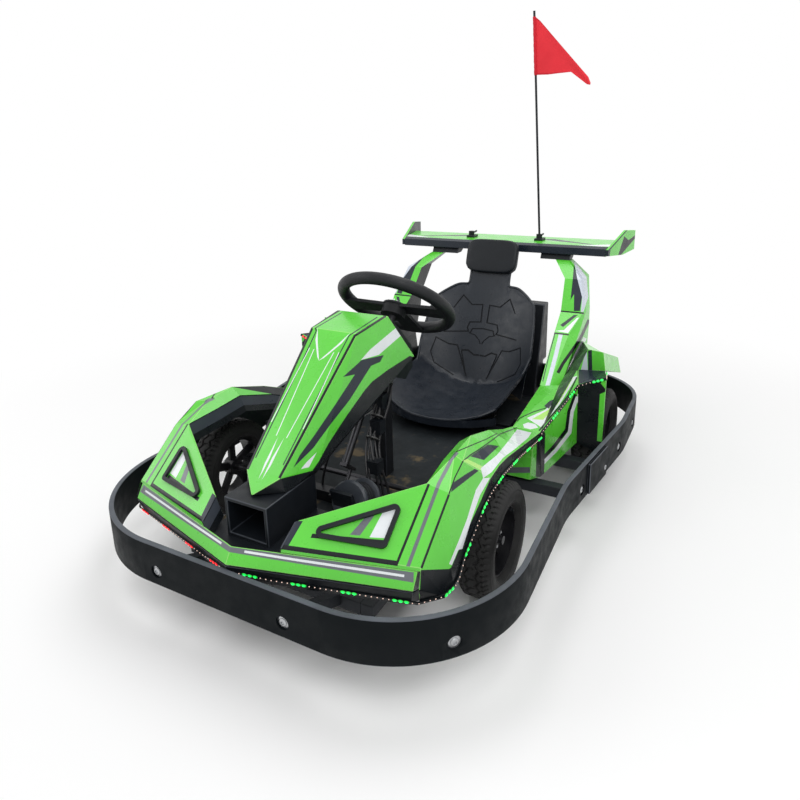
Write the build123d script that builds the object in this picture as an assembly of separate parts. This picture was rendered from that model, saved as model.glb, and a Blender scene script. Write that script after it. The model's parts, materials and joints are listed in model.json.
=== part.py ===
from build123d import *
import math
import os

# Electric bumper go-kart: a low ladder frame inside a rubber bumper ring, folded green body panels,
# a moulded bucket seat, a tilted steering wheel on a cranked column, and a rear wing on two towers.
# Millimetres. +Z is up, the nose points along -Y, the driver's left is +X. The ground is z = 0.
# Stations along Y are written from the middle of the bumper ring and moved to the origin at the end.

# ---------------------------------------------------------------- driving dimensions
SEAT_GAP = 0.3
RUNNING_GAP = 0.05

# bumper ring
RING_TOP = 210.0
RING_HEIGHT = 98.0
RING_WALL = 12.0
RING_FRONT = -750.0
RING_REAR = 740.0
RING_FRONT_HALF_WIDTH = 539.0
RING_WAIST_HALF_WIDTH = 522.0
RING_FRONT_CORNER = 300.0
RING_REAR_CORNER = 230.0
RING_WAIST_CORNER = 400.0
RING_WAIST_Y = -110.0
RING_REAR_SIDE_Y = 330.0
RING_JOINT_Y = 90.0
JOINT_PLATE_LENGTH = 130.0
JOINT_PLATE_WALL = 8.0
JOINT_PLATE_BORDER = 6.0

# frame, floor and stays
TUBE = 30.0
FRAME_BOTTOM = 82.0
RAIL_HALF = 240.0
FRAME_FRONT = -600.0
FRAME_REAR = 660.0
FLOOR_WALL = 3.0
FLOOR_FRONT = FRAME_FRONT + 30.0
FLOOR_REAR = 330.0
SIDE_STAY_YS = (18.0, 190.0)
SIDE_STAY_Z = 113.0
NOSE_STAY_X = 165.0
END_STAY_Z = 158.0
STAY_PLATE_HEIGHT = 62.0
STAY_PLATE_WALL = 6.0
REAR_OUTRIGGER_YS = (470.0, 640.0)
TOWER_POST_X = 336.0
TOWER_FOOT = 175.0

RING_BOTTOM = RING_TOP - RING_HEIGHT
FRAME_TOP = FRAME_BOTTOM + TUBE
FRAME_MIDDLE = FRAME_BOTTOM + TUBE / 2
FLOOR_TOP = FRAME_TOP + FLOOR_WALL

# wheels
WHEEL_RADIUS = 136.0
TYRE_WIDTH_FRONT = 84.0
TYRE_WIDTH_REAR = 92.0
RIM_RADIUS = 88.0
RIM_LIP = 6.0
RIM_WALL = 4.0
RIM_EDGE = 16.0
BEAD_GAP = 0.2
SPOKE_COUNT = 5
SPOKE_WIDTH = 22.0
SPOKE_WALL = 9.0
HUB_RADIUS = 24.0
HUB_LENGTH = 30.0
DISH = 4.0
AXLE_RADIUS = 10.0
AXLE_END = 26.0
FRONT_AXLE_Y = -295.0
REAR_AXLE_Y = 393.0
KINGPIN_HALF = 322.0
KINGPIN_TO_WHEEL = 76.0
FRONT_TRACK_HALF = KINGPIN_HALF + KINGPIN_TO_WHEEL
AXLE_Z = WHEEL_RADIUS
REAR_TRACK_HALF = 480.0
WHEEL_TO_RING = 40.0
RING_REAR_HALF_WIDTH = REAR_TRACK_HALF + TYRE_WIDTH_REAR / 2 + WHEEL_TO_RING + RING_WALL
MOTOR_RADIUS = 36.0
MOTOR_INNER_X = 268.0
MOTOR_TO_WHEEL = 75.0
MOTOR_OUTER_X = REAR_TRACK_HALF - MOTOR_TO_WHEEL
MOTOR_BORE_DEPTH = 40.0

# steering
KINGPIN_RADIUS = 7.0
KINGPIN_HEIGHT = 74.0
BARREL_RADIUS = 14.0
FORK_WALL = 8.0
KNUCKLE_ARM = 60.0
ARM_WALL = 8.0
BALL_RADIUS = 6.0
ROD_Z = 163.0
ROD_RADIUS = 7.0
ROD_EYE_RADIUS = 13.0
ROD_EYE_HALF = 8.5
TAB_WALL = 6.0
TAB_HALF = 22.0
SLOT_WIDTH = 13.0
SLOT_FRONT = -335.0
SLOT_REAR = -301.0
STEER_WHEEL_Y = -11.0
STEER_WHEEL_Z = 588.5
STEER_WHEEL_RADIUS = 153.0
STEER_RIM_RADIUS = 17.0
STEER_HUB_RADIUS = 34.0
COLUMN_RAKE = 39.0
COLUMN_RADIUS = 10.0
COLUMN_LENGTH = 464.0
CRANK_LENGTH = 33.0
CRANK_WALL = 8.0
PIN_RADIUS = 5.0
PIN_LENGTH = 74.0
SLEEVE_RADIUS = 17.0
SLEEVE_LENGTH = 50.0
SLEEVE_AT = -150.0

# body sheet, nose
SKIN = 3.0
LIP_WALL = 4.0
LIP_HALF = 370.0
LIP_TIP_Y = -738.0
LIP_CORNER_Y = -640.0
LIP_SLOPE = 20.0
LIP_LOW = 219.0
LIP_TOP = 249.0
SKIRT_LOW = 180.0
SKIRT_RAKE = 9.0
DUCT_HALF = 56.0
DUCT_FRONT = -669.0
DUCT_BACK = -500.0
DUCT_TOP = 321.0
DUCT_WALL = 8.0
DUCT_DEPTH = 120.0
DECK_HALF = 104.0
DECK_RISE = 12.0
NOSE_POST_X = 72.0
NOSE_POST_HALF = 12.0
RECESS_HEIGHT = 7.0
RECESS_RIM = 9.0
RECESS_ROUND = 12.0

# pedals, dash and post
PEDAL_X = 110.0
DASH_HALF = 58.0
POST_HALF = 20.0
POST_FRONT = -125.0
POST_REAR = -85.0
POST_TOP = 468.0

# seat
SEAT_WALL = 6.0
SEAT_LIP_LOW = 148.0
SEAT_BRACKETS = [
    # y, z of the foot, z of the top
    (300.0, FLOOR_TOP, 144.7),
    (REAR_AXLE_Y, FRAME_TOP, 137.3),
]

# side pods and rear fenders
ARM_END_Y = 27.0
GUARD_Y = 240.0
SHEET_GAP = 0.8
TOWER_FRONT_Y = 345.0
TOWER_OUTER_X = 372.0

# rear wing
WING_FRONT = 795.0
WING_CHORD = 180.0
WING_LOW = 614.0
WING_FRONT_HALF = 400.5
WING_FLARE = 0.196
WING_RISE = 36.0
END_PLATE_WALL = 10.0
END_PLATE_REAR = 1040.0
CLAMP_X = 138.0
CLAMP_Y = 862.0
SOCKET_HEIGHT = 24.0
SOCKET_RADIUS = 11.0

# flag
POLE_RADIUS = 4.0
SOCKET_CLEARANCE = 0.3
POLE_TOP_X = 92.0
POLE_TOP = 1455.0
FLAG_WALL = 10.0
FLAG_CORNERS = [
    # distance out from the pole, distance below its top
    (0.0, 20.0), (16.0, 34.0), (182.0, 232.0), (190.0, 258.0), (176.0, 255.0), (122.0, 210.0), (0.0, 212.0),
]

ORIGIN_Y = (RING_FRONT + END_PLATE_REAR) / 2


# ---------------------------------------------------------------- helpers
def box(x0, x1, y0, y1, z0, z1):
    """A block between two corners."""
    centre = ((x0 + x1) / 2, (y0 + y1) / 2, (z0 + z1) / 2)
    return Pos(*centre) * Box(abs(x1 - x0), abs(y1 - y0), abs(z1 - z0))


def rod(start, end, radius):
    """A round bar from one point to another."""
    axis = Vector(*end) - Vector(*start)
    return extrude(Plane(origin=start, z_dir=axis) * Circle(radius), axis.length)


def bar(start, end, width, height, side=(1, 0, 0)):
    """A rectangular bar from one point to another; side is the direction of its width."""
    axis = Vector(*end) - Vector(*start)
    return extrude(Plane(origin=start, x_dir=side, z_dir=axis) * Rectangle(width, height), axis.length)


def prism_x(outline, x0, x1):
    """A block with a (y, z) outline, from x0 to x1."""
    face = make_face(Polyline(*[(x0, y, z) for y, z in outline], close=True))
    return extrude(face, amount=x1 - x0, dir=(1, 0, 0))


def prism_z(outline, z0, z1):
    """A block with an (x, y) outline, from z0 to z1."""
    face = make_face(Polyline(*[(x, y, z0) for x, y in outline], close=True))
    return extrude(face, amount=z1 - z0, dir=(0, 0, 1))


def both_sides(shape):
    """The shape and its mirror image on the other side of the kart."""
    return [shape, shape.mirror(Plane.YZ)]


def unit_normal(points):
    """Normal of a polygon, by Newell's sum."""
    total = Vector(0, 0, 0)
    for here, after in zip(points, points[1:] + points[:1]):
        total += here.cross(after)
    return total.normalized()


def inner_point(point, normals, wall):
    """The point that lies a wall's thickness behind every panel that meets at this corner."""
    distinct = []
    for normal in normals:
        if all(normal.dot(other) < 0.9999 for other in distinct):
            distinct.append(normal)
    offset = Vector(0, 0, 0)
    for _ in range(60):
        for normal in distinct:
            miss = -wall - offset.dot(normal)
            offset += normal * miss
    return point + offset


def folded_sheet(corners, panels, wall):
    """A closed solid of even wall thickness behind panels that meet at named corners.

    Each panel is a ring of corner names, anticlockwise seen from outside.
    """
    outer = {name: Vector(*xyz) for name, xyz in corners.items()}
    normals = {name: [] for name in corners}
    for panel in panels:
        normal = unit_normal([outer[name] for name in panel])
        for name in panel:
            normals[name].append(normal)
    inner = {name: inner_point(outer[name], normals[name], wall) for name in corners if normals[name]}
    triangles = []
    edges = {}
    for panel in panels:
        for second, third in zip(panel[1:-1], panel[2:]):
            triangles.append([outer[panel[0]], outer[second], outer[third]])
            triangles.append([inner[panel[0]], inner[third], inner[second]])
        for here, after in zip(panel, panel[1:] + panel[:1]):
            edges[(here, after)] = True
    for here, after in edges:
        if (after, here) not in edges:
            triangles.append([outer[here], inner[after], outer[after]])
            triangles.append([outer[here], inner[here], inner[after]])
    faces = [Face(Wire.make_polygon(triangle, close=True)) for triangle in triangles]
    return Solid(Shell(faces))


def whole_sheet(corners, side_panels, middle_names, wall, middle_panels=()):
    """A folded sheet across the kart, from its left-hand panels and those that cross the middle."""
    points = dict(corners)
    other = {name: (name if name in middle_names else "r_" + name) for name in corners}
    for name, (x, y, z) in corners.items():
        points[other[name]] = (-x, y, z) if name not in middle_names else (x, y, z)
    panels = list(side_panels) + [[other[name] for name in panel[::-1]] for panel in side_panels]
    return folded_sheet(points, panels + list(middle_panels), wall)


# ---------------------------------------------------------------- bumper ring
def ring_outline(inset):
    """Outline of the ring in plan, moved in by inset, as a face."""
    front = RING_FRONT + inset
    rear = RING_REAR - inset
    corners = [
        # x, y, corner radius of the outer face
        (0.0, front, 0.0),
        (RING_FRONT_HALF_WIDTH - inset, front, RING_FRONT_CORNER - inset),
        (RING_WAIST_HALF_WIDTH - inset, RING_WAIST_Y, RING_WAIST_CORNER),
        (RING_REAR_HALF_WIDTH - inset, RING_REAR_SIDE_Y, RING_WAIST_CORNER),
        (RING_REAR_HALF_WIDTH - inset, rear, RING_REAR_CORNER - inset),
        (0.0, rear, 0.0),
    ]
    points = [(x, y) for x, y, radius in corners]
    radii = [radius for x, y, radius in corners[1:-1]]
    side = FilletPolyline(*points, radius=radii)
    other = side.mirror(Plane.YZ)
    return make_face([side, other])


def ring_band(z0, z1, outer_inset, wall):
    """A closed band that follows the ring."""
    face = ring_outline(outer_inset) - ring_outline(outer_inset + wall)
    return Pos(0, 0, z0) * extrude(face, z1 - z0)


def bumper_parts():
    band = ring_band(RING_BOTTOM, RING_TOP, 0, RING_WALL)
    far = 2000.0
    front = band & box(-far, far, -far, RING_JOINT_Y, 0, far)
    rear = band & box(-far, far, RING_JOINT_Y, far, 0, far)
    low = RING_BOTTOM + JOINT_PLATE_BORDER
    high = RING_TOP - JOINT_PLATE_BORDER
    cover = ring_band(low, high, -JOINT_PLATE_WALL, JOINT_PLATE_WALL)
    start = RING_JOINT_Y - JOINT_PLATE_LENGTH / 2
    plates = cover & box(-far, far, start, start + JOINT_PLATE_LENGTH, 0, far)
    return front, rear, plates


# ---------------------------------------------------------------- frame, floor and stays
def ring_half_width(y):
    """Half width of the ring's outer face on its long straight sides."""
    share = max(0.0, (y - RING_WAIST_Y) / (RING_REAR_SIDE_Y - RING_WAIST_Y))
    return RING_WAIST_HALF_WIDTH + share * (RING_REAR_HALF_WIDTH - RING_WAIST_HALF_WIDTH)


def frame_parts():
    """The ladder frame: rails, cross tubes, side outriggers, the stays at both ends, and the floor pan."""
    first = FRAME_FRONT + TUBE / 2
    last = FRAME_REAR - TUBE / 2
    inner = RAIL_HALF - TUBE / 2
    outer = RAIL_HALF + TUBE / 2
    rails = []
    outriggers = []
    stays = []
    for side in (-1, 1):
        rails.append(box(side * inner, side * outer, FRAME_FRONT, FRAME_REAR, FRAME_BOTTOM, FRAME_TOP))
        for y in SIDE_STAY_YS:
            ring_x = side * (ring_half_width(y) - RING_WALL - SEAT_GAP - 2)
            start = (side * outer, y, SIDE_STAY_Z)
            outriggers.append(bar(start, (ring_x, y, SIDE_STAY_Z), TUBE, TUBE, (0, 1, 0)))
        for y in REAR_OUTRIGGER_YS:
            post = side * TOWER_POST_X
            arm = bar((side * outer, y, FRAME_MIDDLE), (post, y, FRAME_MIDDLE), TUBE, TUBE, (0, 1, 0))
            arm += bar((post, y, FRAME_BOTTOM), (post, y, TOWER_FOOT - SEAT_GAP), TUBE, TUBE)
            outriggers.append(arm)
        for x, y, ring_y, way in ((side * NOSE_STAY_X, FRAME_FRONT, RING_FRONT + RING_WALL, -1),
                                  (side * RAIL_HALF, FRAME_REAR, RING_REAR - RING_WALL, 1)):
            plate_y = ring_y - way * SEAT_GAP
            stay = box(x - 22, x + 22, plate_y, plate_y - way * STAY_PLATE_WALL,
                       END_STAY_Z - STAY_PLATE_HEIGHT / 2, END_STAY_Z + STAY_PLATE_HEIGHT / 2)
            strut = TUBE - 6
            stay += bar((x, y - way * 4, FRAME_MIDDLE + 5), (x, plate_y - way * 9, END_STAY_Z), strut, strut)
            stays.append(stay - box(x - 60, x + 60, y, y - way * 60, FRAME_BOTTOM - 20, FRAME_TOP + 40))
    crosses = [box(-inner, inner, y - TUBE / 2, y + TUBE / 2, FRAME_BOTTOM, FRAME_TOP)
               for y in (first, FRONT_AXLE_Y - 60, *SIDE_STAY_YS, REAR_AXLE_Y, last)]
    floor = box(-outer, outer, FLOOR_FRONT, FLOOR_REAR, FRAME_TOP, FLOOR_TOP)
    return rails, crosses, outriggers, stays, floor


# ---------------------------------------------------------------- nose
def nose_parts():
    """The lip, the skirt under it with its deck, and the air duct on the deck."""
    back_y = LIP_CORNER_Y + LIP_SLOPE
    lip_points = {
        "mid_top": (0.0, LIP_TIP_Y + LIP_SLOPE, LIP_TOP),
        "mid_low": (0.0, LIP_TIP_Y, LIP_LOW),
        "top": (LIP_HALF, back_y, LIP_TOP),
        "low": (LIP_HALF, LIP_CORNER_Y, LIP_LOW),
    }
    lip = whole_sheet(lip_points, [["mid_low", "low", "top", "mid_top"]], ("mid_top", "mid_low"), LIP_WALL)
    low = LIP_LOW - LIP_WALL
    skirt_points = {
        "mid_top": (0.0, LIP_TIP_Y, low),
        "mid_low": (0.0, LIP_TIP_Y + SKIRT_RAKE, SKIRT_LOW),
        "top": (LIP_HALF, LIP_CORNER_Y, low),
        "low": (LIP_HALF - 10, LIP_CORNER_Y + SKIRT_RAKE, SKIRT_LOW),
        "top_back": (LIP_HALF, LIP_CORNER_Y + 80, low - 30),
        "low_back": (LIP_HALF - 8, LIP_CORNER_Y + 80, SKIRT_LOW - 30),
    }
    skirt_panels = [["mid_low", "low", "top", "mid_top"], ["low", "low_back", "top_back", "top"]]
    skirt = whole_sheet(skirt_points, skirt_panels, ("mid_top", "mid_low"), SKIN)
    deck_top = LIP_LOW + DECK_RISE
    lean = math.hypot(1, LIP_SLOPE / (LIP_TOP - LIP_LOW))
    front = LIP_TIP_Y + DECK_RISE * LIP_SLOPE / (LIP_TOP - LIP_LOW) + (LIP_WALL + 2 * SEAT_GAP) * lean
    side = front + DECK_HALF * (LIP_CORNER_Y - LIP_TIP_Y) / LIP_HALF
    deck_outline = [(-DECK_HALF, DUCT_BACK), (DECK_HALF, DUCT_BACK), (DECK_HALF, side), (0, front),
                    (-DECK_HALF, side)]
    deck = prism_z(deck_outline, deck_top - SKIN, deck_top)
    duct = box(-DUCT_HALF, DUCT_HALF, DUCT_FRONT, DUCT_BACK, deck_top + SEAT_GAP, DUCT_TOP)
    duct -= box(-DUCT_HALF + DUCT_WALL, DUCT_HALF - DUCT_WALL, DUCT_FRONT - 1, DUCT_FRONT + DUCT_DEPTH,
                deck_top + SEAT_GAP + DUCT_WALL, DUCT_TOP - DUCT_WALL)
    posts = []
    for side in (-1, 1):
        inner = side * (NOSE_POST_X - NOSE_POST_HALF)
        outer = side * (NOSE_POST_X + NOSE_POST_HALF)
        posts.append(box(inner, outer, FRAME_FRONT + 2, FRAME_FRONT + TUBE - 4,
                         FRAME_TOP, deck_top - SKIN - SEAT_GAP))
    return lip, skirt, deck, duct, posts


# ---------------------------------------------------------------- front fenders
FENDER_POINTS = {
    # name: x, y, z of the corner on the driver's left
    "wing_low_in": (103.0, -688.0, 261.0),
    "wing_low_out": (375.0, -617.0, 256.0),
    "flange_in": (103.0, -690.0, LIP_TOP + SEAT_GAP),
    "flange_out": (376.0, -619.0, LIP_TOP + SEAT_GAP),
    "wing_top_in": (106.0, -644.0, 293.0),
    "apex": (329.0, -495.0, 359.0),
    "ridge_low": (377.5, -493.7, 349.4),
    "ridge_top": (376.0, -421.0, 385.0),
    "crown_front": (350.0, -405.0, 386.0),
    "crown_rear": (350.0, -315.0, 392.0),
    "crown_back": (345.0, -190.0, 352.0),
    "crown_end": (330.0, -48.0, 292.0),
    "joint_in": (333.0, ARM_END_Y, 269.5),
    "joint_out": (410.0, ARM_END_Y, 267.5),
    "side_front": (408.0, -553.0, 225.0),
    "side_rise": (408.0, -458.0, 267.0),
    "side_bend": (409.0, -395.0, 294.0),
    "side_top": (409.0, -345.0, 315.0),
    "side_crown": (409.0, -290.0, 320.0),
    "side_fall": (409.0, -235.0, 315.0),
    "side_back": (409.0, -150.0, 299.0),
    "toe_corner": (379.0, -634.0, 222.0),
    "toe_in": (377.0, -627.0, 190.0),
    "toe_mid": (409.0, -592.0, 190.0),
    "toe_out": (415.0, -556.0, 187.0),
    "edge_front": (414.0, -532.0, 190.0),
    "edge_low": (412.0, -497.0, 217.0),
    "edge_rise": (412.0, -452.0, 240.0),
    "edge_bend": (411.0, -394.0, 270.0),
    "edge_top": (410.0, -344.0, 281.0),
    "edge_crown": (410.0, -270.0, 287.0),
    "edge_back": (410.0, -148.0, 277.0),
    "edge_end": (410.0, ARM_END_Y, 247.0),
    "inner_front": (322.0, -400.0, 366.0),
    "inner_rear": (322.0, -315.0, 371.0),
    "inner_back": (318.0, -190.0, 330.0),
    "inner_end": (304.0, -48.0, 270.0),
    "inner_joint": (328.0, ARM_END_Y, 260.0),
}
FENDER_PANELS = [
    # the wing beside the nose, and the steep front of the arm
    ["flange_in", "flange_out", "wing_low_out", "wing_low_in"],
    ["wing_low_in", "wing_low_out", "ridge_low", "apex", "wing_top_in"],
    ["apex", "ridge_low", "crown_front"],
    ["ridge_low", "ridge_top", "crown_front"],
    ["wing_low_out", "side_front", "ridge_low"],
    ["side_front", "side_rise", "ridge_low"],
    ["side_rise", "side_bend", "ridge_top"],
    ["side_rise", "ridge_top", "ridge_low"],
    ["side_bend", "side_top", "ridge_top"],
    # the top of the arm
    ["side_top", "side_crown", "crown_rear"],
    ["side_top", "crown_rear", "ridge_top"],
    ["ridge_top", "crown_rear", "crown_front"],
    ["side_crown", "side_fall", "crown_rear"],
    ["side_fall", "crown_back", "crown_rear"],
    ["side_fall", "side_back", "crown_back"],
    ["side_back", "crown_end", "crown_back"],
    ["side_back", "joint_out", "joint_in"],
    ["side_back", "joint_in", "crown_end"],
    # the toe under the front, and the upright lip along the outer edge
    ["flange_out", "toe_corner", "wing_low_out"],
    ["toe_corner", "toe_in", "toe_mid"],
    ["toe_corner", "toe_mid", "wing_low_out"],
    ["wing_low_out", "toe_mid", "side_front"],
    ["toe_mid", "toe_out", "side_front"],
    ["toe_out", "edge_front", "side_front"],
    ["edge_front", "edge_low", "side_front"],
    ["edge_low", "side_rise", "side_front"],
    ["edge_low", "edge_rise", "side_rise"],
    ["edge_rise", "edge_bend", "side_bend"],
    ["edge_rise", "side_bend", "side_rise"],
    ["edge_bend", "edge_top", "side_top"],
    ["edge_bend", "side_top", "side_bend"],
    ["edge_top", "edge_crown", "side_crown"],
    ["edge_top", "side_crown", "side_top"],
    ["edge_crown", "edge_back", "side_fall"],
    ["edge_crown", "side_fall", "side_crown"],
    ["edge_back", "side_back", "side_fall"],
    ["edge_back", "edge_end", "joint_out"],
    ["edge_back", "joint_out", "side_back"],
    # the turned-down inner flange
    ["apex", "crown_front", "inner_front"],
    ["crown_front", "crown_rear", "inner_rear"],
    ["crown_front", "inner_rear", "inner_front"],
    ["crown_rear", "crown_back", "inner_back"],
    ["crown_rear", "inner_back", "inner_rear"],
    ["crown_back", "crown_end", "inner_end"],
    ["crown_back", "inner_end", "inner_back"],
    ["crown_end", "joint_in", "inner_joint"],
    ["crown_end", "inner_joint", "inner_end"],
]
RECESS_CORNERS = [(122.0, -660.0, 278.0), (300.0, -614.0, 268.0), (300.0, -535.0, 329.0)]


def recess_frame():
    """The raised triangular frame on a wing panel, driver's left."""
    low_in, low_out, apex = [Vector(*FENDER_POINTS[name]) for name in ("wing_low_in", "wing_low_out", "apex")]
    normal = unit_normal([low_in, low_out, apex])
    plane = Plane(origin=low_in + normal * SEAT_GAP, x_dir=low_out - low_in, z_dir=normal)
    corners = [plane.to_local_coords(Vector(*xyz)) for xyz in RECESS_CORNERS]
    flat = make_face(Polyline(*[(corner.X, corner.Y) for corner in corners], close=True))
    outer = fillet(flat.vertices(), RECESS_ROUND)
    return extrude(plane * (outer - offset(outer, -RECESS_RIM)), RECESS_HEIGHT)


# ---------------------------------------------------------------- steering cowl, dash and post
COWL_POINTS = {
    "tip": (0.0, -647.0, 326.0),
    "low": (46.0, -605.0, 357.0),
    "knee": (66.0, -320.0, 594.0),
    "top": (75.0, -190.0, 606.0),
    "side_low": (76.0, -518.0, 345.0),
    "side_back": (104.0, -108.0, 480.0),
    "foot": (52.0, -600.0, DUCT_TOP + SEAT_GAP),
    "belly": (60.0, -500.0, DUCT_TOP + SEAT_GAP),
    "belly_back": (66.0, -150.0, 424.0),
}
COWL_MIDDLE = [
    ["tip", "low", "r_low"],
    ["low", "knee", "r_knee", "r_low"],
    ["knee", "top", "r_top", "r_knee"],
]
COWL_SIDE = [
    ["low", "side_low", "knee"],
    ["side_low", "side_back", "knee"],
    ["side_back", "top", "knee"],
    ["tip", "foot", "low"],
    ["foot", "side_low", "low"],
    ["foot", "belly", "side_low"],
    ["belly", "belly_back", "side_low"],
    ["belly_back", "side_back", "side_low"],
]


DASH_OUTLINE = [
    # y, z of the cover seen from the side
    (-148.0, 428.0), (-72.0, 396.0), (-30.0, 420.0), (-32.0, 480.0), (-98.0, 546.0), (-150.0, 586.0),
    (-190.0, 602.6), (-215.0, 600.3), (-215.0, 560.0),
]
SLEEVE_GAP = 3.0


def dash_parts():
    """The cover behind the cowl, and the post that carries the column in a sleeve."""
    cover = prism_x(DASH_OUTLINE, -DASH_HALF, DASH_HALF)
    cover -= rod(column_point(-260.0), column_point(10.0), SLEEVE_RADIUS + SLEEVE_GAP)
    cover -= box(-POST_HALF - SEAT_GAP, POST_HALF + SEAT_GAP, POST_FRONT - SEAT_GAP, POST_REAR + SEAT_GAP,
                 300, POST_TOP + SEAT_GAP)
    post = box(-POST_HALF, POST_HALF, POST_FRONT, POST_REAR, FLOOR_TOP, POST_TOP)
    sleeve_low = column_point(SLEEVE_AT - SLEEVE_LENGTH / 2)
    sleeve_high = column_point(SLEEVE_AT + SLEEVE_LENGTH / 2)
    post += rod(sleeve_low, sleeve_high, SLEEVE_RADIUS)
    post -= rod(column_point(-300.0), column_point(0.0), COLUMN_RADIUS + RUNNING_GAP)
    return cover, post


# ---------------------------------------------------------------- steering
def column_point(distance):
    """A point on the column's centre line, a distance up from the steering wheel's centre."""
    rake = math.radians(COLUMN_RAKE)
    return (0.0, STEER_WHEEL_Y + distance * math.sin(rake), STEER_WHEEL_Z + distance * math.cos(rake))


def column_plane(distance):
    """A plane square to the column."""
    rake = math.radians(COLUMN_RAKE)
    return Plane(origin=column_point(distance), x_dir=(1, 0, 0), z_dir=(0, math.sin(rake), math.cos(rake)))


def steering_parts():
    """The steering wheel, and the column with the crank and pin at its foot."""
    wheel = column_plane(0) * Torus(STEER_WHEEL_RADIUS, STEER_RIM_RADIUS)
    wheel += column_plane(-22) * Cylinder(STEER_HUB_RADIUS, 30)
    reach = STEER_WHEEL_RADIUS
    for angle in (0, 90, 180):
        spoke = make_face(Polyline((0, -24), (reach, -30), (reach, 30), (0, 24), close=True))
        wheel += column_plane(-16) * Rot(0, 0, angle) * extrude(spoke, 9)
    wheel -= rod(column_point(-60), column_point(-20), COLUMN_RADIUS)
    shaft = rod(column_point(-COLUMN_LENGTH), column_point(-20), COLUMN_RADIUS)
    plane = column_plane(-COLUMN_LENGTH)
    # the crank points back and down from the column, across its axis
    arm = plane * Pos(0, CRANK_LENGTH / 2, CRANK_WALL / 2) * Box(20, CRANK_LENGTH + 20, CRANK_WALL)
    pin = plane * Pos(0, CRANK_LENGTH, -PIN_LENGTH / 2) * Cylinder(PIN_RADIUS, PIN_LENGTH)
    return wheel, shaft + arm + pin


def track_rod_part():
    """The bar between the knuckle arms, with the slotted tab that the crank's pin drives."""
    y = FRONT_AXLE_Y + KNUCKLE_ARM
    track = rod((-KINGPIN_HALF, y, ROD_Z), (KINGPIN_HALF, y, ROD_Z), ROD_RADIUS)
    for side in (-1, 1):
        track += Pos(side * KINGPIN_HALF, y, ROD_Z) * Cylinder(ROD_EYE_RADIUS, 2 * ROD_EYE_HALF)
    for side in (-1, 1):
        track -= Pos(side * KINGPIN_HALF, y, ROD_Z) * Cylinder(BALL_RADIUS + RUNNING_GAP, 40)
    tab = box(-TAB_HALF, TAB_HALF, SLOT_FRONT - 14, y, ROD_Z - TAB_WALL / 2, ROD_Z + TAB_WALL / 2)
    slot = box(-SLOT_WIDTH / 2, SLOT_WIDTH / 2, SLOT_FRONT, SLOT_REAR, ROD_Z - 20, ROD_Z + 20)
    return track + tab - slot


def knuckle_part():
    """The driver's-left knuckle: kingpin barrel, stub axle, steering arm and its pin."""
    half = KINGPIN_HEIGHT / 2 - SEAT_GAP
    centre = (KINGPIN_HALF, FRONT_AXLE_Y, AXLE_Z)
    knuckle = Pos(*centre) * Cylinder(BARREL_RADIUS, 2 * half)
    knuckle += rod(centre, (FRONT_TRACK_HALF + AXLE_END, FRONT_AXLE_Y, AXLE_Z), AXLE_RADIUS)
    arm_top = ROD_Z - ROD_EYE_HALF - SEAT_GAP
    end_y = FRONT_AXLE_Y + KNUCKLE_ARM
    knuckle += box(KINGPIN_HALF - 9, KINGPIN_HALF + 9, FRONT_AXLE_Y, end_y + 10, arm_top - ARM_WALL, arm_top)
    knuckle += Pos(KINGPIN_HALF, end_y, ROD_Z - 3) * Cylinder(BALL_RADIUS, 22)
    return knuckle - Pos(*centre) * Cylinder(KINGPIN_RADIUS + RUNNING_GAP, 200)


def front_beam_part():
    """The front axle beam on the floor, with a fork and a kingpin at each end."""
    high = AXLE_Z + KINGPIN_HEIGHT / 2
    low = AXLE_Z - KINGPIN_HEIGHT / 2
    web = KINGPIN_HALF - 32
    pieces = [box(-web, web, FRONT_AXLE_Y - 15, FRONT_AXLE_Y + 15, FLOOR_TOP, FLOOR_TOP + TUBE)]
    for side in (-1, 1):
        inner = side * (web - FORK_WALL)
        outer = side * (KINGPIN_HALF + BARREL_RADIUS)
        pieces.append(box(inner, side * web, FRONT_AXLE_Y - 20, FRONT_AXLE_Y + 20,
                          low - FORK_WALL, high + FORK_WALL))
        for z in (low - FORK_WALL, high):
            pieces.append(box(inner, outer, FRONT_AXLE_Y - 18, FRONT_AXLE_Y + 18, z, z + FORK_WALL))
        kingpin = Cylinder(KINGPIN_RADIUS, KINGPIN_HEIGHT + 30)
        pieces.append(Pos(side * KINGPIN_HALF, FRONT_AXLE_Y, AXLE_Z) * kingpin)
    return pieces[0].fuse(*pieces[1:])


PEDAL_Y = -455.0
PEDAL_FOOT_HEIGHT = 34.0
PEDAL_FOOT_HALF = 18.0
PEDAL_HEIGHT = 118.0
PEDAL_PLATE = (58.0, 92.0, 8.0)


def pedal(x):
    """A pedal plate on its arm and pivot bracket, at a place across the floor."""
    half = PEDAL_FOOT_HALF
    foot = box(x - half, x + half, PEDAL_Y - 15, PEDAL_Y + 15, FLOOR_TOP, FLOOR_TOP + PEDAL_FOOT_HEIGHT)
    plane = Plane(origin=(x, PEDAL_Y - 13, FLOOR_TOP + PEDAL_HEIGHT), x_dir=(1, 0, 0), z_dir=(0, 1, 0.35))
    arm = bar((x, PEDAL_Y, FLOOR_TOP + PEDAL_FOOT_HEIGHT - 8), plane.origin.to_tuple(), 12, 10)
    return foot + arm + plane * Box(*PEDAL_PLATE)


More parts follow.
